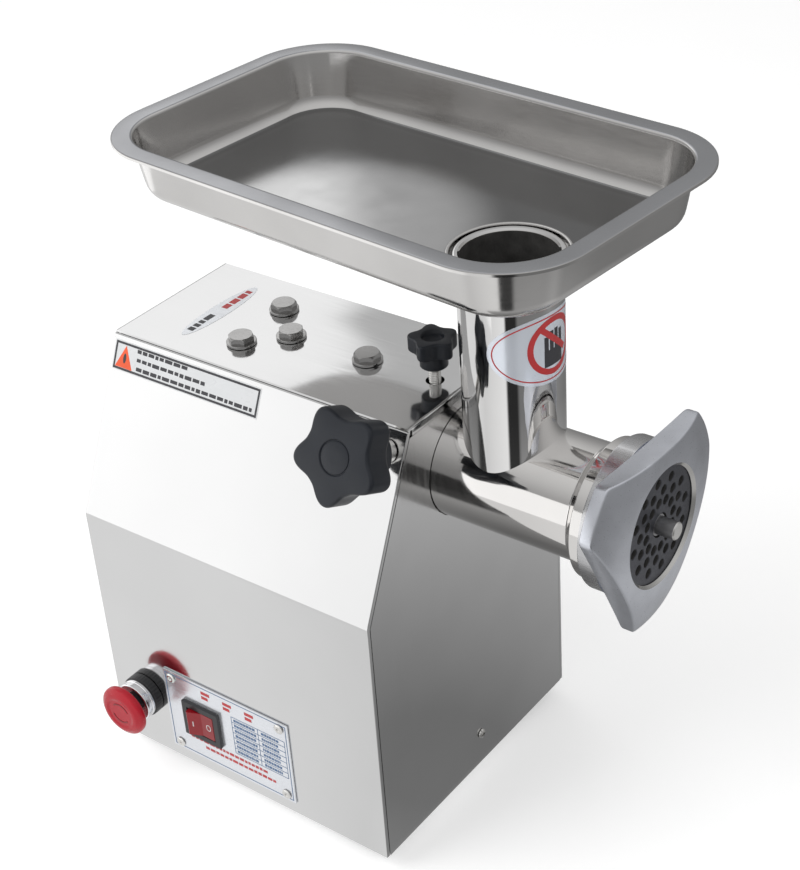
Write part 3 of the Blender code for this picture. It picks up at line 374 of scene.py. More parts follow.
def boolean(target, operation, tools, degrees=32):
    for tool in tools:
        modifier = target.modifiers.new(operation.title(), "BOOLEAN")
        modifier.operation = operation
        modifier.solver = "EXACT"
        modifier.object = tool
        bpy.context.view_layer.update()
        evaluated = target.evaluated_get(bpy.context.evaluated_depsgraph_get())
        result = bpy.data.meshes.new_from_object(evaluated)
        target.modifiers.remove(modifier)
        target.data = result
        bpy.data.objects.remove(tool, do_unlink=True)
    smooth(target, degrees)
    return target


def cut(target, *tools, degrees=32):
    return boolean(target, "DIFFERENCE", tools, degrees)


def join(target, *tools, degrees=32):
    return boolean(target, "UNION", tools, degrees)


def merge(objects):
    """One object from several that don't touch."""
    work = bmesh.new()
    for obj in objects:
        work.from_mesh(obj.data)
    work.to_mesh(objects[0].data)
    work.free()
    for obj in objects[1:]:
        bpy.data.objects.remove(obj, do_unlink=True)
    smooth(objects[0])
    return objects[0]


def soften(obj, width, segments=3):
    """Rounds the sharp edges by a bevel of that many millimetres."""
    bevel = obj.modifiers.new("Bevel", "BEVEL")
    bevel.width = width * MM
    bevel.segments = segments
    bevel.limit_method = "ANGLE"
    bevel.angle_limit = radians(40)
    bevel.harden_normals = True
    return obj


def paint(obj, look, chosen):
    """Gives a second finish to the faces whose centre, in machine millimetres, is chosen."""
    obj.data.materials.append(look)
    back = MACHINE.inverted()
    for face in obj.data.polygons:
        if chosen(back @ face.center):
            face.material_index = len(obj.data.materials) - 1


def show(obj, body, slot, *nodes):
    """The piece rides on a body and stands for those CAD nodes, which it hides. The slot is not used."""
    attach(obj, body)
    if nodes:
        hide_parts(*nodes)
    return obj


def upright(x, y, z=0.0):
    return Matrix.Translation((x, y, z))


def at_x(y, z):
    return upright(0, y, z) @ ALONG_X


DRIVE_LINE = at_x(0, Z_AXIS)
FEED_LINE = upright(FEED_X, 0)


def outwards(x, z):
    """Local Z along -Y, away from the control panel."""
    return upright(x, -HALF_WIDTH, z) @ Matrix.Rotation(QUARTER, 4, "X")


def side_knob_frame():
    square = Matrix.Rotation(QUARTER - SIDE_TILT, 4, "X")
    return upright(SIDE_KNOB_X, 0, Z_AXIS) @ square @ upright(0, SIDE_KNOB_RISE)


# ---- housing


def side_line(offset, low, high):
    """(y, z) points of the control side's skin, moved inwards by offset, with the bend rounded."""
    crease = Z_CREASE - offset * tan(SIDE_TILT / 2)
    top = -HALF_WIDTH + (high - Z_CREASE) * tan(SIDE_TILT) + offset / cos(SIDE_TILT)
    bend = max(1.0, 4 * BEND_RADIUS - offset)
    return rounded([(-HALF_WIDTH + offset, low), (-HALF_WIDTH + offset, crease, bend), (top, high)], 10)


def side_panel(name, side):
    top = Z_TOP - SHEET - GAP
    outline = side_line(0, Z_BASE, top) + side_line(RETURN_FLANGE, Z_BASE, top)[::-1]
    hollow = side_line(SHEET, Z_BASE - 5, top + 5) + side_line(3 * RETURN_FLANGE, Z_BASE - 5, top + 5)[::-1]
    panel = prism(name, SHEET_METAL, [(side * y, z) for y, z in outline], -HALF_LENGTH, HALF_LENGTH, ALONG_X)
    inside = HALF_LENGTH - SHEET
    hollow = prism("hollow", SHEET_METAL, [(side * y, z) for y, z in hollow], -inside, inside, ALONG_X)
    return cut(panel, hollow, degrees=20)


def build_housing():
    control = side_panel("fine_control_side_panel", 1)
    (sx, sz), (ex, ez) = SWITCH, ESTOP
    wide, high = SWITCH_HALF
    opening = box("opening", SHEET_METAL, (sx - wide, -HALF_WIDTH - 5, sz - high),
                  (sx + wide, -HALF_WIDTH + 5, sz + high))
    hole = turned("hole", SHEET_METAL, [(-8, ESTOP_HOLE), (8, ESTOP_HOLE)], outwards(ex, ez))
    clamp = turned("hole", SHEET_METAL, [(-20, CLAMP_HOLE), (20, CLAMP_HOLE)],
                   side_knob_frame() @ upright(0, 0, PANEL_DISTANCE))
    cut(control, opening, hole, clamp, degrees=20)
    show(soften(control, 0.7), "machine", "sheet_steel", "control_side_panel")
    show(soften(side_panel("fine_plain_side_panel", -1), 0.7), "machine", "sheet_steel", "plain_side_panel")

    low, under = Z_TOP - TOP_LIP, Z_TOP - SHEET
    inner = HALF_LENGTH - SHEET
    path = [(-HALF_LENGTH, low), (-HALF_LENGTH, Z_TOP, 2.2), (HALF_LENGTH, Z_TOP, 2.2), (HALF_LENGTH, low)]
    path += [(inner, low), (inner, under, 0.7), (-inner, under, 0.7), (-inner, low)]
    plate = prism("fine_top_plate", SHEET_METAL, rounded(path), -TOP_HALF_WIDTH, TOP_HALF_WIDTH,
                  Matrix.Rotation(QUARTER, 4, "X"))
    corners = [box("corner", SHEET_METAL, (x - 9, y - 4, low - 5), (x + 9, y + 4, under - 0.05))
               for x in (-HALF_LENGTH, HALF_LENGTH) for y in (-TOP_HALF_WIDTH - 0.6, TOP_HALF_WIDTH + 0.6)]
    holes = [turned("hole", SHEET_METAL, [(Z_TOP - 10, r), (Z_TOP + 10, r)], upright(x, y), 64)
             for x, y, r in [(*place, BOLT_HOLE) for place in TOP_BOLTS] + [(TOP_KNOB_X, 0, TOP_KNOB_HOLE)]]
    cut(plate, merge(corners), merge(holes))
    show(soften(plate, 0.3), "machine", "sheet_steel", "top_plate")

    foot_top = Z_BASE - GAP
    path = [(0, 0.5), (0, 12.6, 0.8), (2.4, 13.0, 1.5), (foot_top, 11.2, 0.8), (foot_top, 3.5),
            (Z_BASE + 5, 3.0)]
    places = [(x, y) for x in (FOOT_X, -FOOT_X) for y in (FOOT_Y, -FOOT_Y)]
    for number, (x, y) in enumerate(places, 1):
        foot = turned(f"fine_rubber_foot_{number}", RUBBER, path, upright(x, y))
        show(foot, "machine", "rubber", f"rubber_foot_{number}")
    path = [(-139, 4.6), (-139, 8.5, 1.2), (-130, 9.5), (-128, 11.0, 1.0), (-HALF_LENGTH - GAP, 11.0),
            (-HALF_LENGTH - GAP, 7.8), (-112, 7.8), (-112, 4.6)]
    gland = turned("fine_cord_gland", BLACK_PLASTIC, path, at_x(*CORD_GLAND), 72, closed=True)
    show(gland, "machine", "black_plastic", "cord_gland")


def hexagon_radius(angle):
    return BOLT_CORNER * cos(pi / 6) / cos((angle % (pi / 3)) - pi / 6)


def bolt_head(name, low, high, phase, place, count=96):
    """A hexagon head whose upper corners are turned off to a cone."""
    cone = [(high - 1.5 + 0.15 * i, BOLT_CORNER - 1.25 * (0.1 * i) ** 1.6) for i in range(11)]
    steps = [2 * pi * i / count for i in range(count)]
    rings = [[polar(min(hexagon_radius(a), limit), a + phase, height) for a in steps]
             for height, limit in [(low, BOLT_CORNER + 1), *cone]]
    return loft(name, BOLT_METAL, rings, place)


def build_fasteners():
    for number, (x, y) in enumerate(TOP_BOLTS, 1):
        place = upright(x, y, Z_TOP + GAP)
        bolt = bolt_head(f"fine_top_bolt_{number}", 1.5, BOLT_TOP, 0.4 * number, place)
        path = [(0, 5.0), (0, WASHER_RADIUS, 0.3), (1.8, WASHER_RADIUS, 0.5), (1.8, 5.0)]
        washer = turned("washer", BOLT_METAL, path, place)
        shank = turned("shank", BOLT_METAL, [(-6, 4.6), (1, 4.6)], place, 48)
        show(join(bolt, washer, shank, degrees=20), "machine", "polished_steel", f"top_bolt_{number}")

    place = at_x(*FRONT_SCREW)
    path = [(112, 1.9), (122.3, 1.9), (122.3, 3.6, 0.3), (123.6, 3.3, 0.8), (124.4, 1.6, 1.0), (124.5, 0.2)]
    screw = turned("fine_front_screw", TURNED_METAL, path, place, 64)
    slots = [prism("slot", TURNED_METAL, [(-a, -b), (a, -b), (a, b), (-a, b)], 123.4, 126, place)
             for a, b in ((1.9, 0.4), (0.4, 1.9))]
    show(cut(screw, *slots), "machine", "polished_steel", "front_screw")

    x0, z0, x1, z1 = NAME_PLATE
    places = [(x, z) for x in (x0 + 7.5, x1 - 7.5) for z in (z0 + 5.5, z1 - 5.5)]
    path = [(1.6, 0.2), (1.6, 3.9, 0.2), (2.2, 3.8, 0.6), (3.0, 2.5, 1.2), (2.6, 1.3, 0.4), (2.0, 0.9, 0.3),
            (2.0, 0.1)]
    for number, (x, z) in enumerate(places, 1):
        rivet = turned(f"fine_plate_rivet_{number}", TURNED_METAL, path, outwards(x, z), 48)
        show(rivet, "machine", "polished_steel", f"plate_rivet_{number}")


# ---- grinding head


def off_axis(p):
    return hypot(p.y, p.z - Z_AXIS)


def off_feed(p):
    return hypot(p.x - FEED_X, p.y)


def build_head():
    barrel = [(BARREL_BACK, 0.5), (BARREL_BACK, BARREL_RADIUS - 1.5, 0.6),
              (BARREL_BACK + 1.5, BARREL_RADIUS, 0.6), (221, BARREL_RADIUS, 2), (227, THREAD_RADIUS, 1.2),
              (BARREL_END, THREAD_RADIUS, 0.8), (BARREL_END, 0.5)]
    head = turned("fine_grinder_head", BARREL_METAL, barrel, DRIVE_LINE, 160)
    collar, lip = FEED_COLLAR_RADIUS, FEED_LIP_RADIUS
    neck = [(Z_AXIS, 0.5), (Z_AXIS, FEED_RADIUS), (409, FEED_RADIUS), (409, collar, 0.6), (413, collar, 0.6),
            (413, FEED_RADIUS), (424, FEED_RADIUS), (424, lip, 0.8), (Z_FEED_TOP, lip, 1.6),
            (Z_FEED_TOP, 0.5)]
    join(head, turned("neck", TUBE_METAL, neck, FEED_LINE, 160), degrees=20)
    bore = [(60, 22.3), (126, 22.3), (126, BARREL_BORE), (245.5, BARREL_BORE), (245.5, 41.3), (270, 41.3)]
    feed = [(Z_AXIS, FEED_BORE), (Z_FEED_TOP - 1.6, FEED_BORE, 1.6), (Z_FEED_TOP + 4, FEED_BORE + 4)]
    cut(head, turned("bore", SHADED_BORE_METAL, bore, DRIVE_LINE, 96),
        turned("feed", SHADED_BORE_METAL, feed, FEED_LINE, 120), degrees=20)

    def inside(p):
        return off_axis(p) < 34 and p.x < 245 or off_feed(p) < 29.6 and p.z < Z_FEED_TOP - 1.5

    def tube(p):
        return off_axis(p) > 40 and p.z > Z_AXIS + 8 and p.x < 220 and off_feed(p) > 29.7

    # Painted shade: the faces inside the barrel's bore and the feed tube take the near-black bore finish.
    paint(head, SHADED_BORE_METAL, inside)
    paint(head, TUBE_METAL, tube)
    show(head, "head", "polished_steel", "grinder_head")

    rim = [(PLATE_BACK, 8.0), (PLATE_BACK, PLATE_RADIUS, 0.4), (PLATE_FRONT, PLATE_RADIUS, 0.8),
           (PLATE_FRONT, 8.0)]
    plate = turned("fine_hole_plate", PLATE_METAL, rim, DRIVE_LINE, 128, closed=True)
    drills = []
    for radius, phase in HOLE_RINGS:
        for i in range(12):
            a = radians(phase + 30 * i)
            place = at_x(radius * cos(a), Z_AXIS + radius * sin(a))
            path = [(250, HOLE_RADIUS), (262.4, HOLE_RADIUS), (263.4, HOLE_RADIUS + 1.0)]
            drills.append(turned("drill", PLATE_METAL, path, place, 28))
    cut(plate, merge(drills))
    # Painted shade: the plate's back, edge and hole walls take the near-black bore finish.
    paint(plate, SHADED_BORE_METAL, lambda p: p.x < 262.1)
    show(plate, "head", "cast_steel", "hole_plate")


def round_axis(x, radius, angle):
    return (x, radius * cos(angle), Z_AXIS + radius * sin(angle))


def build_worm():
    """Helical flight on a tapering core, with the knife's square and the stud that shows at the outlet."""
    start, end, pitch, flight = 141.5, 238.0, 34.0, 31.5
    steps = 200
    rings = []
    for i in range(steps + 1):
        x = start + (end - start) * i / steps
        angle, core = 2 * pi * (x - start) / pitch, 14 + 2 * i / steps
        loop = []
        for j in range(72):
            off = pi * (j / 36 - 1)
            share = min(1.0, max(0.0, (0.92 - abs(off)) / 0.42))
            loop.append(round_axis(x, core + (flight - core) * share ** 0.6, angle + off))
        rings.append(loop)
    worm = loft("fine_worm", WORM_METAL, rings)
    rear = turned("rear", WORM_METAL, [(78.6, 12.5), (138.5, 12.5), (138.5, 31.0), (143, 31.0)], DRIVE_LINE)
    tang, square = (box("square", WORM_METAL, (low, -half, Z_AXIS - half), (high, half, Z_AXIS + half))
                    for low, high, half in ((63, 80, 5.8), (230, 254, 7.5)))
    path = [(250, 7.0), (262, 7.0), (262, 5.8), (274.2, 5.8, 0.3), (275, 5.0)]
    pin = turned("pin", WORM_METAL, path, DRIVE_LINE, 64)
    join(worm, rear, tang, square, pin)
    paint(worm, TURNED_METAL, lambda p: p.x > 274.1)
    show(worm, "worm_assembly", "cast_steel", "worm")


def nut_outline(samples=300):
    """(radius, angle) points of three round-ended lobes with hollow flanks; the corners are smoothed."""
    flank_end = radians(60 - NUT_LOBE_HALF_WIDTH)
    raw = []
    for i in range(samples):
        angle = 2 * pi * i / samples
        off = (angle + pi / 3) % (2 * pi / 3) - pi / 3
        if abs(off) <= radians(NUT_LOBE_HALF_WIDTH):
            raw.append(NUT_RADIUS)
            continue
        from_middle = pi / 3 - abs(off)
        deep = NUT_RADIUS * cos(flank_end) - NUT_WAIST
        width = NUT_RADIUS * sin(flank_end)
        slope = tan(from_middle)
        a, b, c = deep / width ** 2 * slope, -1.0, NUT_WAIST * slope
        across = (-b - sqrt(b * b - 4 * a * c)) / (2 * a) if slope > 1e-6 else 0.0
        raw.append(hypot(NUT_WAIST + deep * (across / width) ** 2, across))
    smoothed = [sum(raw[(i + k) % samples] for k in (-1, 0, 1)) / 3 for i in range(samples)]
    return [(r, radians(NUT_LOBE_ANGLE) + 2 * pi * i / samples) for i, r in enumerate(smoothed)]


def build_ring_nut():
    outline = nut_outline()

    def loop(radius_of, x_of):
        radii = [(radius_of(r), a) for r, a in outline]
        return [round_axis(x_of(r), r, a) for r, a in radii]

    def front(radius, drop=0.0):
        share = max(0.0, radius - NUT_OPENING) / (NUT_RADIUS - NUT_OPENING)
        return NUT_FRONT - NUT_DOME * share ** 1.93 - drop

    rings = [loop(lambda r: NUT_OPENING, lambda r: NUT_FRONT - 1.9), loop(lambda r: NUT_OPENING + 1.9, front)]
    for i in range(17):
        share = i / 16
        rings.append(loop(lambda r: NUT_OPENING + 2.4 + (r - 3.6 - NUT_OPENING) * share, front))
    for inset, drop in ((0.6, 0.15), (0.15, 0.5), (0.0, 1.1)):
        rings.append(loop(lambda r: r - inset, lambda r: front(r, drop)))
    for inset, height in ((0.0, 1.8), (0.4, 0.7), (1.4, 0.0)):
        rings.append(loop(lambda r: r - inset, lambda r: NUT_BACK + height))
    for x, radius in ((NUT_BACK, NUT_WAIST), (247.9, 49.2), (247.2, 49.0), (236.2, 49.0), (235.3, 48.7),
                      (235, 48.0), (235, 45.9), (263.1, 45.9), (263.1, NUT_OPENING)):
        rings.append([round_axis(x, radius, a) for _, a in outline])
    nut = loft("fine_ring_nut", CAST_METAL, rings, closed=True)
    paint(nut, NUT_COLLAR_METAL, lambda p: p.x < NUT_BACK - 0.1)
    paint(nut, TURNED_METAL, lambda p: p.x > 263.2 and off_axis(p) < NUT_OPENING + 2.1)
    show(nut, "ring_nut", "cast_steel", "ring_nut")


def rounded_rectangle(inset, height, steps=24):
    points = []
    corner = PAN_CORNER - inset
    centre_x, centre_y = (half - PAN_CORNER for half in PAN_HALF)
    for quarter, (sx, sy) in enumerate(((1, 1), (-1, 1), (-1, -1), (1, -1))):
        for i in range(steps + 1):
            x, y, _ = polar(corner, QUARTER * (quarter + i / steps), 0)
            points.append((sx * centre_x + x, sy * centre_y + y, height))
    return points


def build_pan():
    """A pressed tray from two profiles of (inset from the rim's edge, height from the rim)."""
    inside = rounded([(0.0, -2.3), (0.0, 0.0, 1.3), (13.6, 0.0, 2.6), (20.6, -38.6, 11.0), (44.0, -38.6)], 8)
    outside = [(44.0, -40.0), (19.2, -40.0, 12.0), (12.2, -1.4, 1.6), (1.3, -1.4, 0.6), (1.3, -2.3)]
    outside = rounded(outside, 8)
    rings = [rounded_rectangle(inset, Z_PAN_RIM + drop) for inset, drop in inside + outside]
    count, floor = len(rings[0]), len(inside) - 1
    faces = [tuple(range(r * count, (r + 1) * count)) for r in (floor, floor + 1)]
    # Painted shade: the flat rim and the sunken floor take the darker copies of the pan's steel.
    wall_look, rim_look, floor_look = 0, 1, 2
    looks = [floor_look, wall_look]
    drops = [drop for _, drop in inside]
    for r in range(len(rings)):
        if r == floor:
            continue
        flat = r < floor and max(abs(drops[r]), abs(drops[r + 1])) < 0.4
        sunk = r < floor and drops[r + 1] < drops[-1] + 1.2
        looks += [rim_look if flat else floor_look if sunk else wall_look] * count
        low, high = r * count, (r + 1) % len(rings) * count
        faces += [(low + i, low + (i + 1) % count, high + (i + 1) % count, high + i) for i in range(count)]
    place = FEED_LINE @ Matrix.Rotation(PAN_YAW, 4, "Z") @ upright(*PAN_CENTRE)
    pan = solid("fine_feed_pan", PAN_METAL, [p for loop in rings for p in loop], faces, place)
    # Painted reflection: the floor's colour is darkened to 0.3 outside the ellipse, which stays bright as a
    # reflected patch.
    darken_away(PAN_FLOOR_METAL, REFLECTION_PATCH_CENTRE, REFLECTION_PATCH_RADII, 0.3)
    pan.data.materials.append(PAN_RIM_METAL)
    pan.data.materials.append(PAN_FLOOR_METAL)
    for face, look in zip(pan.data.polygons, looks):
        face.material_index = look
    path = [(Z_PAN_FLOOR - 30, PAN_HOLE), (Z_PAN_FLOOR + 30, PAN_HOLE)]
    hole = turned("hole", PAN_METAL, path, FEED_LINE, 120)
    inner, outer = PAN_COLLAR
    low, high = Z_PAN_FLOOR - 11, Z_PAN_FLOOR + 2.6
    path = [(low, outer), (high, outer, 0.9), (high, inner, 0.9), (low, inner)]
    collar = turned("collar", PAN_METAL, path, FEED_LINE, 120, closed=True)
    cut(pan, hole, degrees=25)
    join(pan, collar, degrees=25)
    show(pan, "feed_pan", "polished_steel", "feed_pan")


# ---- knobs and controls


def star(radius, height, count, phase, waist=0.76, lobes=5):
    points = []
    for i in range(count):
        a = 2 * pi * i / count
        r = radius * (waist + (1 - waist) * (0.5 + 0.5 * cos(lobes * a)) ** 1.3)
        points.append(polar(r, a + phase, height))
    return points


def star_knob(name, star_shape, back, front, neck, dish, place, count=220):
    """A star with rounded edges, between a neck of (radius, height) and a dish of (radius, depth) rings."""
    radius, phase = star_shape
    edge = 0.14 * (front - back)
    rings = [circle(r, count, h, phase) for r, h in neck]
    arc = [(sin(QUARTER * i / 8), cos(QUARTER * i / 8)) for i in range(9)]
    rings += [star(radius * (0.92 + 0.08 * s), back + edge * (1 - c), count, phase) for s, c in arc]
    rings += [star(radius * (0.92 + 0.08 * c), front - edge * (1 - s), count, phase) for s, c in arc]
    rings += [circle(r, count, front - deep, phase) for r, deep in dish]
    return loft(name, KNOB_PLASTIC, rings, place)


def threaded_rod(name, radius, low, high, pitch, place, count=24):
    """A screw thread, whose ridge climbs one pitch in each turn."""
    steps = int((high - low) / pitch * 8)
    rings = []
    for k in range(steps + 1):
        h = low + (high - low) * k / steps
        loop = []
        for i in range(count):
            ridge = abs(2 * ((h / pitch - i / count) % 1.0) - 1.0)
            loop.append(polar(radius - 0.45 * ridge, 2 * pi * i / count, h))
        rings.append(loop)
    return loft(name, TURNED_METAL, rings, place)


def build_knobs():
    place, panel = side_knob_frame(), PANEL_DISTANCE
    path = [(38.6, 0.5), (38.6, 4.8), (panel + 1, 4.8), (panel + 1, 8.0, 0.5), (panel + 20, 8.0, 0.5),
            (panel + 20, 4.8), (panel + 30, 4.8), (panel + 30, 0.5)]
    screw = turned("fine_side_clamp_screw", TURNED_METAL, path, place, 64)
    show(screw, "side_knob", "polished_steel", "side_clamp_screw")
    back, front = panel + 33, panel + 54
    neck = [(17.4, panel + 20.3), (18.0, panel + 20.9), (18.0, back - 2.5), (18.6, back - 0.8), (20.0, back)]
    dish = ((11.2, 0), (10.8, 0.3), (10.5, 0.9), (10.1, 0.9), (9.8, 0.5), (9.3, 0.35), (3.0, 0.35))
    knob = star_knob("fine_side_clamp_knob", SIDE_KNOB_STAR, back, front, neck, dish, place)
    cut(knob, turned("bore", KNOB_PLASTIC, [(panel, 5.2), (panel + 30.3, 5.2)], place, 48))
    show(knob, "side_knob", "black_plastic", "side_clamp_knob")

    place = upright(TOP_KNOB_X, 0)
    rod = threaded_rod("fine_top_lock_screw", 4.0, Z_AXIS + 38.6, Z_TOP + 16, 1.25, place)
    show(rod, "top_knob", "polished_steel", "top_lock_screw")
    back, front = Z_TOP + 21, Z_TOP + 32
    neck = [(8.4, Z_TOP + 11.1), (9.0, Z_TOP + 11.7), (9.0, back - 1.5), (9.6, back - 0.4), (10.4, back)]
    dish = ((8.0, 0), (7.6, 0.1), (7.2, 0.6), (6.4, 2.6), (4.6, 3.6), (1.0, 3.9))
    knob = star_knob("fine_top_lock_knob", TOP_KNOB_STAR, back, front, neck, dish, place)
    cut(knob, turned("bore", KNOB_PLASTIC, [(Z_TOP, 4.4), (Z_TOP + 16.3, 4.4)], place, 48))
    show(knob, "top_knob", "black_plastic", "top_lock_knob")


def fluted(name, path, place, lobes, depth, count=192):
    """A hollow turned piece from a closed loop of (height, radius), with finger flutes round its outside."""
    outer = max(r for _, r in path)
    rings = []
    for h, r in path:
        loop = []
        for x, y, _ in circle(1.0, count):
            flute = depth * max(0.0, cos(lobes * atan2(y, x))) if r > outer - 1.0 else 0.0
            loop.append(((r - flute) * x, (r - flute) * y, h))
        rings.append(loop)
    return loft(name, BLACK_PLASTIC, rings, place, closed=True)


def build_estop():
    place = outwards(*ESTOP)
    way, outer = ESTOP_WAY, ESTOP_COLLAR_RADIUS
    path = rounded([(GAP, way), (GAP, outer, 0.5), (7.0, outer, 1.0), (7.0, way)])
    collar = fluted("fine_estop_collar", path, place, 40, 0.25)
    show(collar, "machine", "black_plastic", "estop_collar")
    outer = ESTOP_RING_RADIUS
    path = [(7.3, way), (7.3, outer, 0.5), (9.4, outer, 0.3), (9.8, outer - 0.5, 0.3), (10.2, outer, 0.3),
            (14.8, outer, 1.2), (14.8, way)]
    show(turned("fine_estop_ring", CHROME, path, place, 128, closed=True), "machine", "chrome", "estop_ring")
    back, front, radius = ESTOP_HEAD
    end, tip = back - GAP, back + 2.7
    path = [(-18, 0.5), (-18, 7.5, 0.5), (end, 7.5, 0.5), (end, 4.0), (tip, 4.0), (tip, 0.5)]
    stem = turned("fine_estop_stem", BLACK_PLASTIC, path, place, 64)
    show(stem, "estop_stem", "black_plastic", "estop_stem")
    path = [(back, 0.5), (back, radius, 1.8), (back + 4.6, radius, 3.4), (front - 0.2, radius - 4.4, 3.0),
            (front, radius - 6.8, 1.0), (front - 0.7, radius - 8.8, 0.8), (front - 0.8, 0.3)]
    button = turned("fine_estop_button", RED_PLASTIC, path, place, 128)
    cut(button, turned("bore", RED_PLASTIC, [(10, 4.4), (back + 3.0, 4.4)], place, 48))
    show(button, "estop_button", "red_plastic", "estop_button")


# ---- printed marks


def bar(a, b, half, steps=1):
    """A strip of edge pairs along the line from a to b."""
    a, b = Vector(a), Vector(b)
    side = (b - a).normalized().orthogonal() * half
    return [(p + side, p - side) for p in (a.lerp(b, i / steps) for i in range(steps + 1))]


def ellipse(centre, half_u, half_v, steps=72):
    strip = []
    for i in range(steps + 1):
        a = pi * (0.004 + 0.992 * i / steps)
        u, v = centre[0] - half_u * cos(a), half_v * sin(a)
        strip.append(((u, centre[1] - v), (u, centre[1] + v)))
    return strip


def annulus(centre, inner, outer, start=0.0, end=2 * pi, steps=72):
    """Inner and outer are (half width, half height) of the two ellipses."""
    strip = []
    for i in range(steps + 1):
        c, s = cos(start + (end - start) * i / steps), sin(start + (end - start) * i / steps)
        strip.append(tuple((centre[0] + half[0] * c, centre[1] + half[1] * s) for half in (inner, outer)))
    return strip


def frame_strips(u0, v0, u1, v1, half):
    corners = [(u0, v0), (u1, v0), (u1, v1), (u0, v1)]
    strips = []
    for i, a in enumerate(corners):
        b = corners[(i + 1) % 4]
        reach = Vector((b[0] - a[0], b[1] - a[1])).normalized() * half * (1 if i % 2 == 0 else -1)
        strips.append(bar(Vector(a) - reach, Vector(b) + reach, half))
    return strips


def dashes(u0, u1, v, half, seed, longest=4.0):
    """A row of short blocks that reads as a line of print but holds no characters."""
    drawn = random.Random(seed)
    strips, u = [], u0
    while u < u1 - 1.0:
        end = min(u1, u + drawn.uniform(0.4, 1.0) * longest)
        top = v + half * drawn.uniform(0.7, 1.0)
        strips.append([((u, v - half), (u, top)), ((end, v - half), (end, top))])
        u = end + 0.18 * longest
    return strips


def printed(name, look, strips, surface, low, high, body="machine"):
    """Thin closed slabs, from low to high above the surface that the function maps (u, v, height) onto."""
    points, faces = [], []
    for strip in strips:
        first = len(points)
        for a, b in strip:
            points += [surface(*p, h) for p, h in ((a, low), (b, low), (b, high), (a, high))]
        total = len(strip)
        for k in range(total - 1):
            here, after = first + 4 * k, first + 4 * k + 4
            faces += [(here + i, here + (i + 1) % 4, after + (i + 1) % 4, after + i) for i in range(4)]
        last = first + 4 * (total - 1)
        faces += [tuple(first + i for i in range(4)), tuple(last + i for i in range(4))]
    return show(solid(name, look, points, faces), body, "label")


def on_slant(x, s, height):
    """s is the distance down the slanted panel from its top edge."""
    return (x, -TOP_HALF_WIDTH - s * sin(SIDE_TILT) - height * cos(SIDE_TILT),
            Z_TOP - s * cos(SIDE_TILT) + height * sin(SIDE_TILT))


def on_top(x, y, height):
    return (x, y, Z_TOP + height)


def on_tube(arc, z, height):
    """arc is the distance round the feed tube from its +X side."""
    angle, radius = arc / FEED_RADIUS, FEED_RADIUS + height
    return (FEED_X + radius * cos(angle), radius * sin(angle), z)


def on_name_plate(x, z, height):
    return (x, NAME_PLATE_FACE - height, z)


def build_slanted_label():
    u0, s0, u1, s1 = -119.4, 5.6, 8.4, 26.0
    middle, half = (s0 + s1) / 2, (s1 - s0) / 2
    printed("slanted_label_film", FILM, [bar((u0, middle), (u1, middle), half)], on_slant, 0.03, 0.12)
    marks = frame_strips(u0 + 1.5, s0 + 1.5, u1 - 1.5, s1 - 1.5, 0.75)
    for row, (start, end, s) in enumerate(((-99, -53, 9.6), (-98.5, -38, 15.5), (-98, 3.4, 21.4))):
        marks += dashes(start, end, s, 1.3, row + 3, 6.5)
    marks.append(ellipse((-109.3, 17.0), 1.3, 3.4, 24))
    printed("slanted_label_marks", DARK_INK, marks, on_slant, 0.12, 0.2)
    triangle = [((-109.4, 8.3), (-109.3, 8.3)), ((-117.0, 23.6), (-101.6, 23.6))]
    printed("slanted_label_triangle", ORANGE_INK, [triangle], on_slant, 0.12, 0.16)


def build_top_label():
    line = -77.0
    strip = [((a[1] + line, a[0]), (b[1] + line, b[0])) for a, b in ellipse((0, 0), 38.0, 7.6)]
    printed("top_label_film", SILVER_FILM, [strip], on_top, 0.03, 0.12)
    for name, look, low, high, seed in (("top_label_red", RED_INK, 4, 32, 5),
                                        ("top_label_dark", DARK_INK, -31, -5, 8)):
        strips = [[(p[::-1], q[::-1]) for p, q in strip] for strip in dashes(low, high, line, 2.6, seed, 8.0)]
        printed(name, look, strips, on_top, 0.12, 0.18)


def build_tube_label():
    arc = FEED_RADIUS * pi / 180
    centre = (-8 * arc, 377.0)
    printed("tube_label_film", TUBE_FILM, [ellipse(centre, 42.0, 23.4, 96)], on_tube, 0.03, 0.12, "head")
    ring_centre = (-6 * arc, 378.0)
    marks = [annulus(centre, (38.4, 20.4), (39.2, 21.2), steps=128),
             annulus(ring_centre, (15.2, 15.2), (19.0, 19.0)),
             bar((-23.8 * arc, 391.2), (13.6 * arc, 371.7), 1.9, 16)]
    printed("tube_label_red", RED_INK, marks, on_tube, 0.17, 0.22, "head")
    tops = (385.0, 388.0, 388.5, 386.5)
    blocks = [bar((-9.5 + 4.1 * i, 374.5), (-9.5 + 4.1 * i, top), 1.6) for i, top in enumerate(tops)]
    blocks += [bar((-11.2, 370.3), (4.5, 370.3), 5.5, 8)]
    printed("tube_label_dark", DARK_INK, blocks, on_tube, 0.12, 0.17, "head")


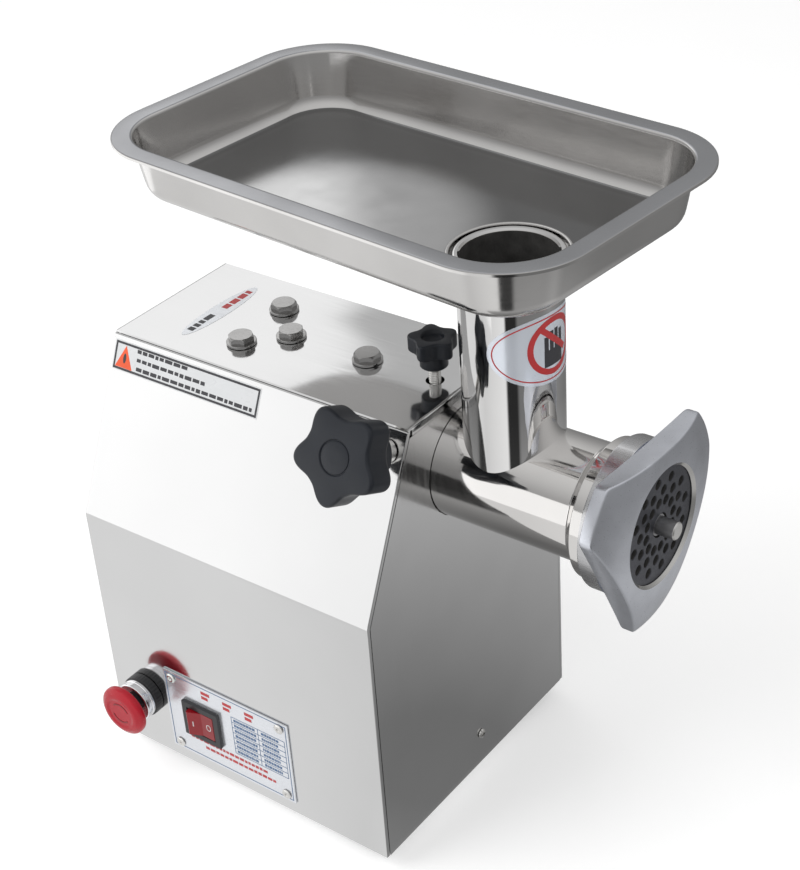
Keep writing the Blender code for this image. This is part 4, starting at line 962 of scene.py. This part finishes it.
def build_name_plate_marks():
    x0, z0, x1, z1 = NAME_PLATE
    blue = frame_strips(x0 + 2.0, z0 + 2.0, x1 - 2.0, z1 - 2.0, 0.3)
    left, middle, right, low, high, rows = -7.4, 16.6, 40.5, 43.5, 77.0, 7
    step = (high - low) / rows
    blue += [bar((left, low + step * i), (right, low + step * i), 0.22) for i in range(rows + 1)]
    blue += [bar((x, low), (x, high), 0.22) for x in (left, middle, right)]
    for row in range(rows):
        z = low + step * (row + 0.5)
        blue += dashes(left + 2, middle - 2, z, 1.15, 20 + row, 2.6)
        blue += dashes(middle + 3, right - 5, z, 1.15, 40 + row, 2.6)
    printed("name_plate_blue", BLUE_INK, blue, on_name_plate, 0.03, 0.09)
    red = []
    for x, z in ((-30, 84.5), (-10, 84.0), (10, 84.3)):
        red += [bar((x - 4.0, z + up), (x + end, z + up), 1.3) for end, up in ((4.0, 1.9), (2.0, -2.3))]
    red += dashes(-50, 21, 39.6, 1.2, 60, 5.0) + dashes(-37, 28, 34.2, 1.2, 61, 5.0)
    printed("name_plate_red", RED_INK, red, on_name_plate, 0.03, 0.1)


def build_rocker_marks():
    """A dash and a ring on the two halves of the rocker's face, which lean in towards the middle."""
    pivot = upright(SWITCH[0], NAME_PLATE_FACE - GAP + 2.0, SWITCH[1])
    pivot = pivot @ Matrix.Rotation(radians(11), 4, "Z")

    def surface(u, v, height):
        return tuple(pivot @ Vector((u, -(4.2 + 2.2 * abs(u) / 10.3) - height, v)))

    marks = [bar((-6.4, -2.2), (-6.4, 2.2), 0.35), annulus((6.2, 0.0), (1.6, 2.2), (2.2, 2.8))]
    printed("rocker_marks", WHITE_INK, marks, surface, 0.05, 0.12, "rocker")


def build_estop_arcs():
    """Two plain arcs on the dished face of the stop button, which show that it twists to reset."""
    place = outwards(*ESTOP) @ upright(0, 0, ESTOP_HEAD[1] - 0.8)

    def surface(u, v, height):
        return tuple(place @ Vector((u, v, height)))

    arcs = [annulus((0, 0), (7.2, 7.2), (8.2, 8.2), start, start + 2.0, 24) for start in (0.4, 0.4 + pi)]
    printed("estop_arcs", DARK_RED, arcs, surface, 0.02, 0.3, "estop_button")


# ---- carried-over CAD nodes

BEARINGS = [f"{line}_bearing_{end}" for line in ("layshaft", "output", "rotor") for end in ("front", "rear")]
CAD_FINISHES = (
    (BRUSHED_METAL, 0.3, ("front_panel", "rear_panel")),
    (SHEET_METAL, 0.3, ("base_plate",)),
    (PLATE_FILM, 0.2, ("name_plate",)),
    (TURNED_METAL, 0.3, ("head_socket", "output_shaft", *BEARINGS)),
    (WORM_METAL, 0.3, ("knife", "layshaft", "intermediate_gear", "output_gear", "rotor_shaft")),
    (BRONZE, 0.3, ("worm_bush",)),
    (ALUMINIUM, 0.5, ("gearbox_housing", "gearbox_cover", "motor_rear_shield")),
    (GREY_PAINT, 0.5, ("motor_shell",)),
    (LAMINATION, 0.3, ("stator_core",)),
    (BLACK_PLASTIC, 0.5, ("switch_bezel", "estop_contact_block", "run_capacitor", "cooling_fan")),
    (ROCKER_RED, 0.6, ("rocker",)),
)


def finish_cad_nodes():
    for look, bevel, names in CAD_FINISHES:
        for name in names:
            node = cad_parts[name]
            node.data.materials.clear()
            node.data.materials.append(look)
            smooth(node)
            soften(node, bevel, 2)


# ---- studio


# Brightness of the floor as polished metal sees it, by direction round the feed tube in degrees from +Y. The
# dim sectors from 227 round to 30, towards +X and +Y, are painted shadow: the machine's own shadow on the
# floor as the panels reflect it.
FLOOR_SECTORS = ((0, 0.20), (30, 0.26), (41, 0.60), (60, 0.75), (90, 0.90), (131, 0.88), (150, 0.78),
                 (198, 1.0), (202, 0.03), (221, 0.03), (227, 0.22), (280, 0.25), (300, 0.32), (359, 0.20))

# Soft boxes in the sky: start and end of turn, lowest and highest, in degrees, then level and soft edge
SKY_BOXES = ((60, 200, -20, 4, 1.1, 4.0), (39.3, 78, 18, 65, 1.15, 1.4))


def turn_from_plus_y(graph, x, y):
    """Direction round the vertical axis in degrees from +Y, anticlockwise from above, 0 to 360."""
    degrees = graph.math("MULTIPLY", graph.math("ARCTAN2", y, x), 180 / pi)
    return graph.math("MODULO", graph.math("ADD", degrees, 270.0), 360.0)


def build_world():
    """Soft boxes painted by direction over an even grey room."""
    world = bpy.data.worlds.new("studio")
    bpy.context.scene.world = world
    world.use_nodes = True
    graph = Graph(world.node_tree)
    x, y, z = graph.split(graph.add("ShaderNodeTexCoord", {}, "Generated"))
    turn = turn_from_plus_y(graph, x, y)
    height = graph.math("MULTIPLY", graph.math("ARCSINE", z), 180 / pi)
    level = graph.ramp(z, -0.1, 1.0, 0.28, 0.75, smooth=True)
    for start, end, low, high, value, soft in SKY_BOXES:
        sides, ends = graph.window(turn, start, end, soft), graph.window(height, low, high, 5.0)
        lifted = graph.math("MULTIPLY", graph.math("MULTIPLY", sides, ends), value)
        level = graph.math("MAXIMUM", level, lifted)
    seen = graph.add("ShaderNodeLightPath", {}, "Is Camera Ray")
    strength = graph.math("MAXIMUM", level, seen)
    background = world.node_tree.nodes["Background"]
    background.inputs["Color"].default_value = (1, 1, 1, 1)
    world.node_tree.links.new(strength, background.inputs["Strength"])


def reflected_only(obj):
    obj.visible_camera = obj.visible_diffuse = obj.visible_shadow = obj.visible_transmission = False


def glowing(name, paint_strength):
    """An emission material whose strength is made by a function of its graph."""
    look = bpy.data.materials.new(name)
    look.use_nodes = True
    graph = Graph(look.node_tree)
    output = look.node_tree.nodes["Material Output"]
    inputs = {"Color": (1, 1, 1, 1), "Strength": paint_strength(graph)}
    look.node_tree.links.new(graph.add("ShaderNodeEmission", inputs), output.inputs["Surface"])
    look.node_tree.nodes.remove(look.node_tree.nodes["Principled BSDF"])
    return look


def build_side_card():
    """A tall curved white card beyond the control side, a little brighter towards the rear."""
    radius, top, steps = 720, 500, 48
    points = []
    for i in range(steps + 1):
        points += [polar(radius, radians(170 + 105 * i / steps), z) for z in (0, top)]
    mesh = bpy.data.meshes.new("side_card")
    mesh.from_pydata([MACHINE @ Vector(p) for p in points], [],
                     [(2 * i, 2 * i + 2, 2 * i + 3, 2 * i + 1) for i in range(steps)])
    reflected_only(link("side_card", mesh))

    def strength(graph):
        return graph.ramp(graph.split(graph.place())[0], -0.55, -0.2, 1.37, 1.12)

    mesh.materials.append(glowing("side_card", strength))


def disc(name, radius, height):
    mesh = bpy.data.meshes.new(name)
    ring = [(x * MM, y * MM, height * MM) for x, y, _ in circle(radius, 96)]
    mesh.from_pydata(ring, [], [tuple(range(96))])
    obj = link(name, mesh)
    return obj


def build_floor():
    """The floor seen by the camera, and a card seen only in reflections, with light and dark sectors."""
    floor = disc("floor", 6000, -0.2)
    look = finish("floor_paint", grey(0.86), 0.0, 0.9, 0.0, 0.01, bump=0.0, broad=3.0, specular=0.2)
    floor.data.materials.append(look)
    floor.visible_glossy = False
    glow = look.node_tree.nodes["Principled BSDF"]
    glow.inputs["Emission Color"].default_value = (1, 1, 1, 1)
    glow.inputs["Emission Strength"].default_value = 0.3

    card = disc("reflector_card", 3000, -0.1)
    reflected_only(card)

    def strength(graph):
        centre = tuple(MACHINE @ Vector((FEED_X, 0, 0)))
        offset = graph.add("ShaderNodeVectorMath", {0: graph.place(), 1: centre}, operation="SUBTRACT")
        x, y, _ = graph.split(offset)
        turn = turn_from_plus_y(graph, x, y)
        ramp = graph.tree.nodes.new("ShaderNodeValToRGB")
        graph.tree.links.new(graph.math("DIVIDE", turn, 360.0), ramp.inputs[0])
        stops = ramp.color_ramp.elements
        for turn_at, _ in FLOOR_SECTORS[2:]:
            stops.new(turn_at / 360)
        for stop, (turn_at, level) in zip(stops, FLOOR_SECTORS):
            stop.position = turn_at / 360
            stop.color = (*grey(level), 1)
        distance = graph.add("ShaderNodeVectorMath", {0: offset}, "Value", operation="LENGTH")
        rising = graph.ramp(distance, 0.10, 0.33, 0.9, 1.9)
        ahead = graph.math("MULTIPLY", rising, graph.ramp(distance, 0.40, 0.56, 1.0, 0.5))
        beside = graph.window(turn, 41.0, 200.0, 2.0)
        far = graph.add("ShaderNodeMix", {0: beside, 2: ahead, 3: 1.0})
        pattern = graph.math("MULTIPLY", ramp.outputs[0], far)
        # Painted shadow: in front of the feed tube and within about 0.3 m of it, the card runs from 0.20 up
        # to 0.47, standing in for the machine's shadow on the floor near its base.
        in_front = graph.ramp(x, -0.045, -0.03, 0.0, 1.0)
        close = graph.math("MULTIPLY", in_front, graph.ramp(distance, 0.28, 0.34, 1.0, 0.0, smooth=True))
        near_level = graph.ramp(distance, 0.05, 0.30, 0.20, 0.47)
        return graph.add("ShaderNodeMix", {0: close, 2: pattern, 3: near_level})

    card.data.materials.append(glowing("reflector_card", strength))


def area_light(name, place, size, power, aim=(0, 0, 0.2)):
    data = bpy.data.lights.new(name, "AREA")
    data.size, data.energy = size, power
    light = link(name, data)
    light.location = place
    light.rotation_euler = (Vector(aim) - Vector(place)).to_track_quat("-Z", "Y").to_euler()
    light.visible_glossy = False


def build_camera():
    around, above, roll = map(radians, CAMERA_ANGLES)
    back = Vector((sin(around) * cos(above), -cos(around) * cos(above), sin(above)))
    right = Vector((cos(around), sin(around), 0))
    up = back.cross(right)
    across = cos(roll) * right + sin(roll) * up
    upwards = cos(roll) * up - sin(roll) * right
    data = bpy.data.cameras.new("camera")
    data.lens = CAMERA_LENS
    data.clip_end = 20.0
    camera = link("camera", data)
    rotation = Matrix((across, upwards, back)).transposed().to_4x4()
    camera.matrix_world = Matrix.Translation(MACHINE @ Vector(CAMERA_PLACE)) @ rotation
    bpy.context.scene.camera = camera


def build_studio():
    build_world()
    build_floor()
    build_side_card()
    area_light("key_light", (-1.2, -1.6, 2.0), 1.6, 30.0)
    area_light("fill_light", (1.8, -0.6, 1.5), 1.4, 10.0)
    build_camera()
    bpy.context.scene.view_settings.view_transform = "Standard"


build_housing()
build_fasteners()
build_head()
build_worm()
build_ring_nut()
build_pan()
build_knobs()
build_estop()
build_slanted_label()
build_top_label()
build_tube_label()
build_name_plate_marks()
build_rocker_marks()
build_estop_arcs()
finish_cad_nodes()
build_studio()
